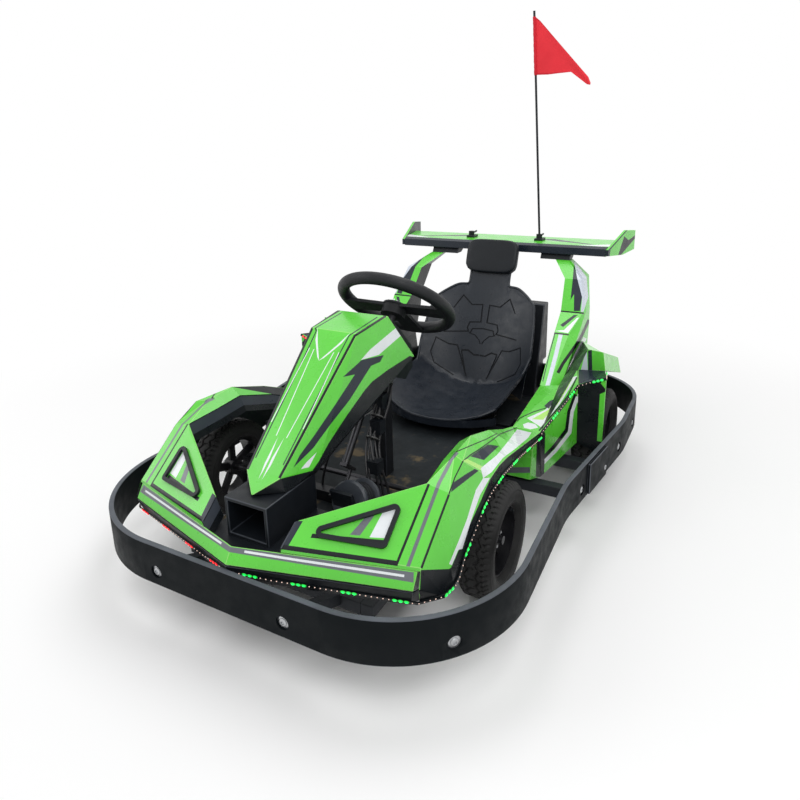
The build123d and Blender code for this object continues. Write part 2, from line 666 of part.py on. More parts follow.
# ---------------------------------------------------------------- wheels
def tyre(width):
    """Tyre section turned about X, with a flat tread and rounded shoulders."""
    half = width / 2
    bead = RIM_RADIUS - RIM_LIP + BEAD_GAP
    quarter = [
        # radius, half width
        (bead, half - RIM_EDGE),
        (bead + 8, half - 5),
        (bead + 26, half),
        (WHEEL_RADIUS - 14, half - 3),
        (WHEEL_RADIUS - 3, half - 12),
        (WHEEL_RADIUS, half - 24),
    ]
    outline = [(x, 0, r) for r, x in quarter] + [(-x, 0, r) for r, x in quarter[::-1]]
    return revolve(make_face(Polyline(*outline, close=True)), Axis.X)


def rim(width):
    """Dished rim turned about X, with spokes and a hub; +X is the outer side."""
    edge = width / 2 - RIM_EDGE - BEAD_GAP
    outer = RIM_RADIUS - RIM_LIP
    section = [(edge, 0, outer), (-edge, 0, outer), (-edge, 0, outer - RIM_WALL), (edge, 0, outer - RIM_WALL)]
    wheel = revolve(make_face(Polyline(*section, close=True)), Axis.X)
    reach = outer - RIM_WALL / 2
    for index in range(SPOKE_COUNT):
        turn = Rot(360 * index / SPOKE_COUNT, 0, 0)
        wheel += turn * Pos(-DISH, 0, reach / 2) * Box(SPOKE_WALL, SPOKE_WIDTH, reach)
    wheel += Pos(-DISH, 0, 0) * Rot(0, 90, 0) * Cylinder(HUB_RADIUS, HUB_LENGTH)
    return wheel - Rot(0, 90, 0) * Cylinder(AXLE_RADIUS + RUNNING_GAP, 200)


def wheel_parts(name, x, y, width):
    """Tyres and rims for both ends of an axle, by node name."""
    parts = {}
    for side, word, turn in ((1, "left", 0), (-1, "right", 180)):
        place = Pos(side * x, y, AXLE_Z) * Rot(0, 0, turn)
        parts[f"{name}_tyre_{word}"] = place * tyre(width)
        parts[f"{name}_rim_{word}"] = place * rim(width)
    return parts


def drive_parts():
    """The driver's-left gear motor on its bracket, and the shaft that carries the wheel."""
    inner = (MOTOR_INNER_X, REAR_AXLE_Y, AXLE_Z)
    outer = (MOTOR_OUTER_X, REAR_AXLE_Y, AXLE_Z)
    motor = rod(inner, outer, MOTOR_RADIUS)
    bore_start = MOTOR_OUTER_X - MOTOR_BORE_DEPTH
    bore_end = (MOTOR_OUTER_X + 5, REAR_AXLE_Y, AXLE_Z)
    motor -= rod((bore_start, REAR_AXLE_Y, AXLE_Z), bore_end, AXLE_RADIUS + RUNNING_GAP)
    bracket = box(RAIL_HALF - 12, MOTOR_INNER_X + 20, REAR_AXLE_Y - 30, REAR_AXLE_Y + 30, FRAME_TOP, AXLE_Z)
    shaft_end = (REAR_TRACK_HALF + AXLE_END, REAR_AXLE_Y, AXLE_Z)
    shaft = rod((bore_start + SEAT_GAP, REAR_AXLE_Y, AXLE_Z), shaft_end, AXLE_RADIUS)
    return motor + bracket, shaft


# ---------------------------------------------------------------- seat
SEAT_BACK_LEVELS = [
    # height, y of the back's middle, half width, y of its side edges
    (150.0, 585.0, 205.0, 490.0),
    (300.0, 640.0, 214.0, 556.0),
    (420.0, 684.0, 208.0, 622.0),
    (500.0, 712.0, 200.0, 676.0),
    (660.0, 770.0, 200.0, 750.0),
]
SEAT_PAN_STATIONS = [
    # y, height of the pan's middle, half width, height of its side edges
    (160.0, 176.0, 200.0, 196.0),
    (300.0, 152.0, 204.0, 216.0),
    (450.0, 140.0, 205.0, 236.0),
    (590.0, 150.0, 205.0, 256.0),
]
SEAT_OUTLINE = [
    # half width and height of the back's outline, with the corner radius there
    (205.0, 120.0, 0.0),
    (217.0, 300.0, 120.0),
    (196.0, 455.0, 60.0),
    (120.0, 497.0, 40.0),
    (78.0, 500.0, 8.0),
    (78.0, 545.0, 6.0),
    (95.0, 556.0, 6.0),
    (95.0, 648.0, 22.0),
]


def crescent(middle, edge, half, wall, level, upright):
    """A thin curved strip: an arc through the middle and both edges, and its copy behind it."""
    def at(x, depth):
        return (x, level, depth) if upright else (x, depth, level)
    front = ThreePointArc(at(-half, edge), at(0, middle), at(half, edge))
    rear = ThreePointArc(at(-half, edge + wall), at(0, middle + wall), at(half, edge + wall))
    ends = [Line(at(x, edge), at(x, edge + wall)) for x in (-half, half)]
    return make_face([front, rear, *ends])


def seat_part():
    """Moulded bucket seat: a dished pan, a wrapped back with a headrest, and a turned-down lip."""
    levels = [crescent(y, edge, half, SEAT_WALL, z, False) for z, y, half, edge in SEAT_BACK_LEVELS]
    back = loft(levels, ruled=True)
    half_outline = [(x, z) for x, z, radius in SEAT_OUTLINE]
    radii = [radius for x, z, radius in SEAT_OUTLINE]
    outline = Polyline(*half_outline, *[(-x, z) for x, z in half_outline[::-1]], close=True)
    flat = make_face(outline)
    for (x, z), radius in zip(half_outline, radii):
        if radius:
            corners = [v for v in flat.vertices() if abs(abs(v.X) - x) < 0.01 and abs(v.Y - z) < 0.01]
            flat = fillet(corners, radius)
    back = back & (Plane.XZ * Pos(0, 0, -900) * extrude(flat, 800))
    stations = [crescent(z - SEAT_WALL, edge - SEAT_WALL, half, SEAT_WALL, y, True)
                for y, z, half, edge in SEAT_PAN_STATIONS]
    pan = loft(stations, ruled=True)
    front = ThreePointArc((-215, 280), (0, 176), (215, 280))
    plan = make_face([front, Polyline((215, 280), (215, 700), (-215, 700), (-215, 280))])
    column = Pos(0, 0, 100) * extrude(plan, 300)
    band = plan - offset(plan, -SEAT_WALL)
    rim_wall = Pos(0, 0, SEAT_LIP_LOW) * extrude(band, 200 - SEAT_LIP_LOW)
    rim_wall = rim_wall & box(-198, 198, 100, 300, SEAT_LIP_LOW, 172)
    return (pan & column) + back + rim_wall


# ---------------------------------------------------------------- rear body
TOWER_LEVELS = [
    # height, inner x, x where the front face ends, outer x, front y, y where the outer side starts, rear y
    (TOWER_FOOT, 300.0, 352.0, TOWER_OUTER_X, 440.0, 470.0, 712.0),
    (275.0, 313.0, 340.0, TOWER_OUTER_X, TOWER_FRONT_Y, 378.0, 712.0),
    (390.0, 297.0, 345.0, TOWER_OUTER_X, 548.0, 582.0, 729.0),
    (443.0, 293.0, 367.0, 371.0, 637.0, 672.0, 731.0),
    (545.0, 283.0, 341.0, 346.0, 712.0, 730.0, 806.0),
    (594.0, 226.0, 272.0, 278.0, 795.0, 800.0, 835.0),
]
POD_FRONT_Y = ARM_END_Y + SEAT_GAP
POD_REAR_Y = TOWER_FRONT_Y - 2 * SEAT_GAP
POD_SIDE_Y = GUARD_Y - SEAT_GAP
POD_SEAT_Z = SIDE_STAY_Z + TUBE / 2 + SHEET_GAP
POD_POINTS = {
    "joint_in": (333.0, POD_FRONT_Y, 269.5),
    "joint_out": (410.0, POD_FRONT_Y, 267.5),
    "drop_in": (333.0, POD_FRONT_Y, 261.0),
    "drop_out": (403.5, POD_FRONT_Y, 261.0),
    "guard_top_in": (330.0, -20.0, 234.0),
    "guard_top_out": (403.5, -20.0, 234.0),
    "guard_low_in": (318.0, -20.0, 147.0),
    "guard_low_out": (400.0, -20.0, 147.0),
    "side_low": (406.0, 60.0, 118.0),
    "side_rear_low": (REAR_TRACK_HALF - 21.0, POD_SIDE_Y, 154.0),
    "side_rear_top": (REAR_TRACK_HALF - 25.5, POD_SIDE_Y, 335.0),
    "crest": (REAR_TRACK_HALF - 54.0, POD_REAR_Y, 342.0),
    "fold": (TOWER_OUTER_X + SEAT_GAP, POD_REAR_Y, 284.5),
    "rear_in": (314.0, POD_REAR_Y, 274.5),
    "rear_low_in": (312.0, POD_REAR_Y, POD_SEAT_Z),
    "front_low_in": (320.0, 0.0, POD_SEAT_Z),
}
POD_PANELS = [
    ["joint_in", "joint_out", "fold"],
    ["joint_in", "fold", "rear_in"],
    ["joint_out", "side_rear_top", "crest"],
    ["joint_out", "crest", "fold"],
    ["drop_in", "drop_out", "joint_out", "joint_in"],
    ["guard_top_in", "guard_top_out", "drop_out", "drop_in"],
    ["guard_low_in", "guard_low_out", "guard_top_out", "guard_top_in"],
    ["joint_out", "side_low", "side_rear_low", "side_rear_top"],
    ["joint_out", "drop_out", "side_low"],
    ["drop_out", "guard_top_out", "side_low"],
    ["guard_top_out", "guard_low_out", "side_low"],
    ["joint_in", "rear_in", "drop_in"],
    ["drop_in", "rear_in", "guard_top_in"],
    ["guard_top_in", "rear_in", "rear_low_in"],
    ["guard_top_in", "rear_low_in", "front_low_in"],
    ["guard_top_in", "front_low_in", "guard_low_in"],
]
REAR_SIDE_X = TOWER_OUTER_X + SHEET_GAP
REAR_FENDER_POINTS = {
    "guard_low_in": (REAR_TRACK_HALF - 20.0, GUARD_Y, 154.0),
    "guard_low_out": (REAR_TRACK_HALF + 51.0, GUARD_Y, 126.0),
    "guard_top_in": (REAR_TRACK_HALF - 25.0, GUARD_Y, 336.0),
    "guard_top_out": (REAR_TRACK_HALF + 51.0, GUARD_Y, 368.0),
    "ledge_in": (REAR_TRACK_HALF - 52.0, TOWER_FRONT_Y, 343.0),
    "ledge_out": (REAR_TRACK_HALF + 29.0, TOWER_FRONT_Y, 352.0),
    "hump_in": (REAR_TRACK_HALF - 25.0, TOWER_FRONT_Y, 413.0),
    "hump_out": (REAR_TRACK_HALF + 20.0, TOWER_FRONT_Y, 409.0),
    "foot_front": (REAR_SIDE_X, TOWER_FRONT_Y, 285.0),
    "foot_mid": (REAR_SIDE_X, 441.0, 300.0),
    "foot_top": (REAR_SIDE_X, 640.0, 345.0),
    "rear_in": (REAR_TRACK_HALF - 25.0, 600.0, 322.0),
    "rear_out": (REAR_TRACK_HALF + 20.0, 600.0, 316.0),
    "flank_low": (REAR_TRACK_HALF + 32.0, 600.0, 264.0),
    "tail_in": (REAR_SIDE_X, 712.0, 262.0),
    "tail_out": (REAR_TRACK_HALF - 25.0, 700.0, 258.0),
}
REAR_FENDER_PANELS = [
    ["guard_low_in", "guard_low_out", "guard_top_out", "guard_top_in"],
    ["guard_top_in", "guard_top_out", "ledge_out"],
    ["guard_top_in", "ledge_out", "ledge_in"],
    ["ledge_in", "ledge_out", "hump_out", "hump_in"],
    ["foot_front", "ledge_in", "foot_mid"],
    ["foot_mid", "ledge_in", "hump_in"],
    ["foot_mid", "hump_in", "foot_top"],
    ["hump_in", "hump_out", "rear_out", "rear_in"],
    ["foot_top", "hump_in", "rear_in"],
    ["ledge_out", "flank_low", "rear_out"],
    ["ledge_out", "rear_out", "hump_out"],
    ["foot_top", "rear_in", "tail_in"],
    ["rear_in", "rear_out", "tail_out"],
    ["rear_in", "tail_out", "tail_in"],
    ["rear_out", "flank_low", "tail_out"],
]


def tower_part():
    """Driver's-left tower: straight-sided lofts between level outlines with a slanted outer front corner."""
    faces = []
    for z, x0, face_x, x1, y0, side_y, y1 in TOWER_LEVELS:
        corners = [(x0, y0, z), (face_x, y0, z), (x1, side_y, z), (x1, y1, z), (x0, y1, z)]
        faces.append(make_face(Polyline(*corners, close=True)))
    return loft(faces, ruled=True)


REAR_BOX_HALF = 214.0
REAR_BOX_OUTLINE = [
    # y, z of the box seen from the side
    (622.0, FRAME_TOP + SEAT_GAP), (724.0, FRAME_TOP + SEAT_GAP), (724.0, 226.0), (764.0, 226.0),
    (764.0, 442.0), (716.0, 442.0),
]


def rear_box_part():
    """Battery and control box behind the seat."""
    return prism_x(REAR_BOX_OUTLINE, -REAR_BOX_HALF, REAR_BOX_HALF)


# ---------------------------------------------------------------- rear wing and flag
END_PLATE_OUTLINE = [
    # y, z of the plate seen from the side
    (WING_FRONT, 618.0), (930.0, 604.0), (END_PLATE_REAR, 610.0), (END_PLATE_REAR, 682.0), (950.0, 692.0),
    (WING_FRONT, 640.0),
]
BRACKET_INNER_X = 166.0
BRACKET_OUTER_X = 276.0
BRACKET_OUTLINE = [
    # y, z of the bracket between a tower's top and the blade
    (798.0, 594.3), (836.0, 594.3), (880.0, 617.0), (860.0, 617.5), (808.0, 613.6),
]


def wing_parts():
    """The blade, its end plates, the brackets on the towers, and the two clamp sockets."""
    front = WING_FRONT
    rear = WING_FRONT + WING_CHORD
    top = WING_LOW + WING_RISE
    section = [
        (front, WING_LOW + 2), (front + 8, WING_LOW), (front + 60, WING_LOW + 6), (rear, top - 6),
        (rear, top), (front + 55, top), (front + 20, top - 2), (front, top - 8),
    ]
    spread = WING_FRONT_HALF + WING_FLARE * WING_CHORD
    blade = prism_x(section, -spread, spread)
    blade &= prism_z([(-WING_FRONT_HALF, front), (WING_FRONT_HALF, front), (spread, rear), (-spread, rear)],
                     WING_LOW - 50, top + 50)
    away = WING_FRONT_HALF + (SEAT_GAP + END_PLATE_WALL) * math.hypot(1, WING_FLARE)
    back = END_PLATE_WALL * WING_FLARE / math.hypot(1, WING_FLARE)
    corners = {}
    for i, (y, z) in enumerate(END_PLATE_OUTLINE):
        corners[f"c{i}"] = (away + WING_FLARE * (y - front - back), y - back, z)
    plate = folded_sheet(corners, [list(corners)], END_PLATE_WALL)
    bracket = prism_x(BRACKET_OUTLINE, BRACKET_INNER_X, BRACKET_OUTER_X)
    clamps = []
    socket_low = top + SEAT_GAP
    for side in (-1, 1):
        x = side * CLAMP_X
        y = CLAMP_Y + 10
        middle = Pos(x, y, socket_low + SOCKET_HEIGHT / 2)
        base = box(x - 16, x + 16, y - 14, y + 30, socket_low, socket_low + 8)
        base += middle * Cylinder(SOCKET_RADIUS, SOCKET_HEIGHT)
        base += rod((x, y + 4, socket_low + 14), (x, y + 52, socket_low + 18), 3.5)
        base -= middle * Cylinder(POLE_RADIUS + SOCKET_CLEARANCE, SOCKET_HEIGHT)
        clamps.append(base)
    return blade, plate, bracket, clamps, socket_low


def flag_parts(socket_low):
    """The whip pole in the left socket, and the pennant near its top as a thin closed wedge."""
    y = CLAMP_Y + 10
    bend = (CLAMP_X, y, socket_low + SOCKET_HEIGHT + 4)
    top = (POLE_TOP_X, y, POLE_TOP)
    pole = rod((CLAMP_X, y, socket_low), bend, POLE_RADIUS)
    pole += rod(bend, top, POLE_RADIUS) + Pos(*bend) * Sphere(POLE_RADIUS)
    lean = (bend[0] - top[0]) / (top[2] - bend[2])
    side = POLE_TOP_X + POLE_RADIUS * math.hypot(1, lean) + SEAT_GAP
    outline = [(side + out + down * lean, POLE_TOP - down) for out, down in FLAG_CORNERS]
    face = make_face(Polyline(*[(x, y - FLAG_WALL / 2, z) for x, z in outline], close=True))
    return pole, extrude(face, amount=FLAG_WALL, dir=(0, 1, 0))


# ---------------------------------------------------------------- the whole kart
def build_nodes():
    """Every node of the kart, by name."""
    nodes = {}
    nodes["bumper_front"], nodes["bumper_rear"], nodes["bumper_plates"] = bumper_parts()
    rails, crosses, outriggers, stays, floor = frame_parts()
    nodes["frame_rails"] = rails
    nodes["cross_tubes"] = crosses
    nodes["outriggers"] = outriggers
    nodes["bumper_stays"] = stays
    nodes["floor_pan"] = floor
    lip, skirt, deck, duct, posts = nose_parts()
    nodes["nose_lip"] = lip
    nodes["nose_skirt"] = skirt
    nodes["nose_deck"] = deck
    nodes["air_duct"] = duct
    nodes["nose_posts"] = posts
    fender = folded_sheet(FENDER_POINTS, FENDER_PANELS, SKIN)
    nodes["front_fenders"] = both_sides(fender)
    nodes["recess_frames"] = both_sides(recess_frame())
    nodes["steering_cowl"] = whole_sheet(COWL_POINTS, COWL_SIDE, ("tip",), SKIN, COWL_MIDDLE)
    nodes["dash_cover"], nodes["column_post"] = dash_parts()
    nodes["steering_wheel"], nodes["steering_column"] = steering_parts()
    nodes["track_rod"] = track_rod_part()
    nodes["knuckle_left"], nodes["knuckle_right"] = both_sides(knuckle_part())
    nodes["front_beam"] = front_beam_part()
    nodes["pedals"] = both_sides(pedal(PEDAL_X))
    nodes.update(wheel_parts("front", FRONT_TRACK_HALF, FRONT_AXLE_Y, TYRE_WIDTH_FRONT))
    nodes.update(wheel_parts("rear", REAR_TRACK_HALF, REAR_AXLE_Y, TYRE_WIDTH_REAR))
    motor, shaft = drive_parts()
    nodes["drive_motors"] = both_sides(motor)
    nodes["rear_shaft_left"], nodes["rear_shaft_right"] = both_sides(shaft)
    nodes["seat_shell"] = seat_part()
    nodes["seat_brackets"] = [box(-150, 150, y - 12, y + 12, low, top) for y, low, top in SEAT_BRACKETS]
    nodes["side_pods"] = both_sides(folded_sheet(POD_POINTS, POD_PANELS, SKIN))
    nodes["towers"] = both_sides(tower_part())
    rear_fender = folded_sheet(REAR_FENDER_POINTS, REAR_FENDER_PANELS, SKIN)
    nodes["rear_fenders"] = both_sides(rear_fender)
    nodes["rear_box"] = rear_box_part()
    blade, plate, bracket, clamps, socket_low = wing_parts()
    nodes["wing_blade"] = blade
    nodes["wing_end_plates"] = both_sides(plate)
    nodes["wing_brackets"] = both_sides(bracket)
    nodes["flag_clamps"] = clamps
    nodes["flag_pole"], nodes["flag"] = flag_parts(socket_low)
    return nodes


def main():
    os.makedirs("parts", exist_ok=True)
    for name, shape in build_nodes().items():
        solids = []
        for piece in (shape if isinstance(shape, list) else [shape]):
            solids.extend(piece.solids())
        placed = [Pos(0, -ORIGIN_Y, 0) * solid for solid in solids]
        export_step(placed[0] if len(placed) == 1 else Compound(children=placed), f"parts/{name}.step")
        print(name, len(placed), "solids", round(sum(solid.volume for solid in placed)), "mm3")


main()
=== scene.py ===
# %% [markdown]
# # An electric bumper kart, dressed step by step
# The kart is a ladder frame with a thick black ring round it, a green folded shell, a moulded
# bucket seat and a small rear wing. Its solid model already exists and fixes every size. This
# lesson loads that model, keeps each solid where it is, and adds what a solid model leaves out:
# printed bands, tyre tread, bolts, lamps, wires, seat grooves and a cloth flag.

# %% Load the solid model
import json
import math

import bmesh
import bpy
from mathutils import Matrix, Vector
from mathutils.bvhtree import BVHTree
from mathutils.geometry import tessellate_polygon
from mathutils.interpolate import poly_3d_calc


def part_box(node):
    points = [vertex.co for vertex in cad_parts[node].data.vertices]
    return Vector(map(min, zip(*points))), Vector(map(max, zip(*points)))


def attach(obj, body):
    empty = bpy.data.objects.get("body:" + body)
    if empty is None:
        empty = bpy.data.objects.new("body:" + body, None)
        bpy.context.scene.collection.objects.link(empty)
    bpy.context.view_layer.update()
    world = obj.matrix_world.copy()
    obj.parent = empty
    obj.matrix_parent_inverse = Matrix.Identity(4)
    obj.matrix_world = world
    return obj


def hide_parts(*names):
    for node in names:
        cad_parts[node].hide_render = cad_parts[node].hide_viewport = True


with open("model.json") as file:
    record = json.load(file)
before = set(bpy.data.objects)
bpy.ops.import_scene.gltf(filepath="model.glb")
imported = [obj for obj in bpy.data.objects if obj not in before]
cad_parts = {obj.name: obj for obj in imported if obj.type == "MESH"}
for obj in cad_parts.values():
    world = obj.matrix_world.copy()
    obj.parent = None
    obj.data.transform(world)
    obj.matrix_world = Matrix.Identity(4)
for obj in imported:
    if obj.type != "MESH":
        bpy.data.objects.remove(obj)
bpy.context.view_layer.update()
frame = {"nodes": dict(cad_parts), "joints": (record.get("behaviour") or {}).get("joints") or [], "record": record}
nodes = frame["nodes"]

# %% [markdown]
# The workshop drawing counts millimetres from the ground, with y counted backwards from a mark
# near the middle of the bumper ring. The model counts metres from the middle of its own box. One
# small function turns the first into the second, so that the rest of the lesson can use the
# drawing's numbers.

# %% From the drawing to the model
MARK_BEHIND_MIDDLE = 5
ring_front, ring_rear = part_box("bumper_front")[0].y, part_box("bumper_rear")[1].y
MARK_Y = (ring_front * 1000 + ring_rear * 1000) / 2 + MARK_BEHIND_MIDDLE


def place(x, y, z):
    """A point of the drawing, in the model's metres."""
    return Vector((x / 1000, (y + MARK_Y) / 1000, z / 1000))


print("the drawing's mark lies at y", round(MARK_Y, 1), "mm")

# %% [markdown]
# The camera comes first, because every later choice is judged through it. It stands at the
# driver's front left, about chest high, and looks slightly down, as one would greet the driver.
# A shift lowers the frame without tipping the camera, so the flag and the ring both fit.

# %% Camera
CAMERA_AZIMUTH = 0.50694
CAMERA_ELEVATION = 0.27033
CAMERA_ROLL = -0.024359
STANDING_POINT = place(853.3, -1547.4, 1022.3)
camera_data = bpy.data.cameras.new("camera")
camera_data.lens = 29.25
camera_data.sensor_width = 36
camera_data.shift_x = 0.0042
camera_data.shift_y = -0.0969
camera = bpy.data.objects.new("camera", camera_data)
bpy.context.scene.collection.objects.link(camera)
level_right = Vector((math.cos(CAMERA_AZIMUTH), math.sin(CAMERA_AZIMUTH), 0))
backward = Vector((
    math.sin(CAMERA_AZIMUTH) * math.cos(CAMERA_ELEVATION),
    -math.cos(CAMERA_AZIMUTH) * math.cos(CAMERA_ELEVATION),
    math.sin(CAMERA_ELEVATION),
))
level_up = backward.cross(level_right)
right = math.cos(CAMERA_ROLL) * level_right + math.sin(CAMERA_ROLL) * level_up
up = math.cos(CAMERA_ROLL) * level_up - math.sin(CAMERA_ROLL) * level_right
turn = Matrix((right, up, backward)).transposed().to_4x4()
camera.matrix_world = Matrix.Translation(STANDING_POINT) @ turn
bpy.context.scene.camera = camera
bpy.context.scene.view_settings.view_transform = "Standard"
print("camera at", [round(value, 3) for value in STANDING_POINT])

# %% [markdown]
# The studio is a pale floor, a white surround and three large soft lamps. Large lamps give wide
# highlights along the black ring and keep shadows soft. The surround is white only to the camera
# and in reflections, so it doesn't flood the kart with light. The floor keeps the kart's shadow
# and turns into the same white further out, so that no horizon shows.

# %% Helpers for shader nodes
def new_material(name):
    """A fresh material, its node tree and its main shader."""
    material = bpy.data.materials.new(name)
    material.use_nodes = True
    return material, material.node_tree, material.node_tree.nodes["Principled BSDF"]


def add_node(tree, kind, settings=(), feed=None):
    """A new shader node: its settings by socket name, and what feeds its first socket."""
    node = tree.nodes.new("ShaderNode" + kind)
    for socket, value in dict(settings).items():
        node.inputs[socket].default_value = value
    if feed is not None:
        tree.links.new(feed, node.inputs[0])
    return node


def combine(tree, operation, first, second):
    """The result of a sum, product or maximum of two sockets."""
    node = add_node(tree, "Math", feed=first)
    node.operation = operation
    tree.links.new(second, node.inputs[1])
    return node.outputs[0]


def blend(tree, share, first, second, output):
    """Sends one shader to the output where the share is 0, and another where it is 1."""
    mix = add_node(tree, "MixShader", feed=share)
    tree.links.new(first, mix.inputs[1])
    tree.links.new(second, mix.inputs[2])
    tree.links.new(mix.outputs[0], output)


def sees_white(tree):
    """1 for the rays that see the surround: camera, mirror and glass rays."""
    path = add_node(tree, "LightPath").outputs
    direct = combine(tree, "MAXIMUM", path["Is Camera Ray"], path["Is Glossy Ray"])
    return combine(tree, "MAXIMUM", direct, path["Is Transmission Ray"])


print("helpers for shader nodes are ready")

# %% Surround and lamps
WHITE_LIGHT = (1, 1, 1, 1)
world = bpy.data.worlds.new("studio")
bpy.context.scene.world = world
world.use_nodes = True
tree = world.node_tree
tree.nodes.clear()
output = tree.nodes.new("ShaderNodeOutputWorld")
soft = add_node(tree, "Background", {"Color": WHITE_LIGHT, "Strength": 0.55})
white = add_node(tree, "Background", {"Color": WHITE_LIGHT, "Strength": 1.0})
blend(tree, sees_white(tree), soft.outputs[0], white.outputs[0], output.inputs[0])

SOFT_LAMPS = {
    # name: where it hangs, what it looks at, size in metres, power in watts
    "key_lamp": ((2.2, -2.4, 3.2), (0, 0, 0.3), 2.4, 58),
    "fill_lamp": ((-2.8, -1.6, 2.2), (0, 0, 0.3), 2.2, 26),
    "top_lamp": ((0.2, 0.8, 3.4), (0, 0, 0.2), 2.6, 44),
}
for name, (where, towards, size, power) in SOFT_LAMPS.items():
    data = bpy.data.lights.new(name, "AREA")
    data.shape = "SQUARE"
    data.size = size
    data.energy = power
    lamp = bpy.data.objects.new(name, data)
    bpy.context.scene.collection.objects.link(lamp)
    lamp.location = where
    lamp.rotation_euler = (Vector(towards) - Vector(where)).to_track_quat("-Z", "Y").to_euler()
print(len(SOFT_LAMPS), "lamps and a white surround")

# %% Floor
FLOOR_REACH = 30
FADE_FROM, FADE_TO = 0.9, 2.2
corners = [(x * FLOOR_REACH, y * FLOOR_REACH, 0) for x, y in ((-1, -1), (1, -1), (1, 1), (-1, 1))]
floor_mesh = bpy.data.meshes.new("studio_floor")
floor_mesh.from_pydata(corners, [], [(0, 1, 2, 3)])
floor = bpy.data.objects.new("studio_floor", floor_mesh)
bpy.context.scene.collection.objects.link(floor)
floor_paint, tree, floor_shader = new_material("floor_paint")
floor_shader.inputs["Base Color"].default_value = (0.92, 0.92, 0.92, 1)
floor_shader.inputs["Roughness"].default_value = 0.9
where = add_node(tree, "TexCoord").outputs["Object"]
distance = add_node(tree, "VectorMath", feed=where)
distance.operation = "LENGTH"
fade = add_node(tree, "MapRange", {"From Min": FADE_FROM, "From Max": FADE_TO}, distance.outputs["Value"])
fade.interpolation_type = "SMOOTHSTEP"
glow = add_node(tree, "Emission", {"Strength": 1.0})
far_and_seen = combine(tree, "MULTIPLY", sees_white(tree), fade.outputs["Result"])
blend(tree, far_and_seen, floor_shader.outputs[0], glow.outputs[0],
      tree.nodes["Material Output"].inputs["Surface"])
floor_mesh.materials.append(floor_paint)
print("the floor turns white beyond", FADE_TO, "m")

# %% [markdown]
# Most of the kart is painted or moulded plastic. Real plastic is never one flat colour: it has
# faint clouding, a fine grain that breaks up the highlight, and dust that dulls it unevenly.
# One recipe makes all of these from noise, and each finish sets its own colour and amounts.

# %% A recipe for moulded and painted surfaces
NOISE_LOW, NOISE_HIGH = 0.3, 0.7
CLOUDS = {"Scale": 9.0, "Detail": 5.0, "Roughness": 0.6}
SCRATCHES = {"Scale": 34.0, "Detail": 6.0}
GLOSS_SPREAD = 0.08
GRAIN_HEIGHT = 0.0006
BARE_PATCHES = (0.58, 0.66)
DUST_LIGHT = 0.04
COAT_ROUGHNESS = 0.12


def finish_material(name, colour, roughness, clouding=0.06, grain=0.0, grain_scale=900.0,
                    metal=0.0, coat=0.0, dust=0.0, smear=0.0, shine=0.5, patches=None):
    """A surface with clouded colour, uneven gloss and a fine raised grain."""
    material, tree, shader = new_material(name)
    link = tree.links.new
    shader.inputs["Metallic"].default_value = metal
    shader.inputs["Coat Weight"].default_value = coat
    shader.inputs["Coat Roughness"].default_value = COAT_ROUGHNESS
    shader.inputs["Specular IOR Level"].default_value = shine
    where = add_node(tree, "TexCoord").outputs["Object"]
    cloud = add_node(tree, "TexNoise", CLOUDS, where)
    shades = add_node(tree, "ValToRGB", feed=cloud.outputs["Fac"])
    dark, light = shades.color_ramp.elements
    dark.position, light.position = NOISE_LOW, NOISE_HIGH
    dark.color = (*[channel * (1 - clouding) for channel in colour], 1)
    light.color = (*[min(1.0, channel * (1 + clouding) + DUST_LIGHT * dust) for channel in colour], 1)
    if patches:
        light.position = BARE_PATCHES[0]
        shades.color_ramp.elements.new(BARE_PATCHES[1]).color = (*patches, 1)
    link(shades.outputs["Color"], shader.inputs["Base Color"])
    scratch = add_node(tree, "TexNoise", SCRATCHES, where)
    gloss = add_node(tree, "MapRange", {
        "From Min": NOISE_LOW, "From Max": NOISE_HIGH,
        "To Min": max(0.05, roughness - GLOSS_SPREAD - smear),
        "To Max": min(1.0, roughness + GLOSS_SPREAD + smear),
    }, scratch.outputs["Fac"])
    link(gloss.outputs["Result"], shader.inputs["Roughness"])
    if grain:
        pores = add_node(tree, "TexNoise", {"Scale": grain_scale, "Detail": 2.0}, where)
        bump = add_node(tree, "Bump", {"Strength": grain, "Distance": GRAIN_HEIGHT})
        link(pores.outputs["Fac"], bump.inputs["Height"])
        link(bump.outputs["Normal"], shader.inputs["Normal"])
    return material


def lamp_material(name, colour, strength):
    """A small lamp under silicone: it shines by itself and has a glossy skin."""
    material, tree, shader = new_material(name)
    shader.inputs["Base Color"].default_value = (*[0.05 + 0.5 * channel for channel in colour], 1)
    shader.inputs["Roughness"].default_value = 0.2
    shader.inputs["Emission Strength"].default_value = strength
    where = add_node(tree, "TexCoord").outputs["Object"]
    flicker = add_node(tree, "TexNoise", {"Scale": 60.0}, where)
    shades = add_node(tree, "ValToRGB", feed=flicker.outputs["Fac"])
    dim, full = shades.color_ramp.elements
    dim.color = (*[channel * 0.75 for channel in colour], 1)
    full.color = (*colour, 1)
    tree.links.new(shades.outputs["Color"], shader.inputs["Emission Color"])
    return material


print("recipes for plastic, paint, metal and lamps are ready")
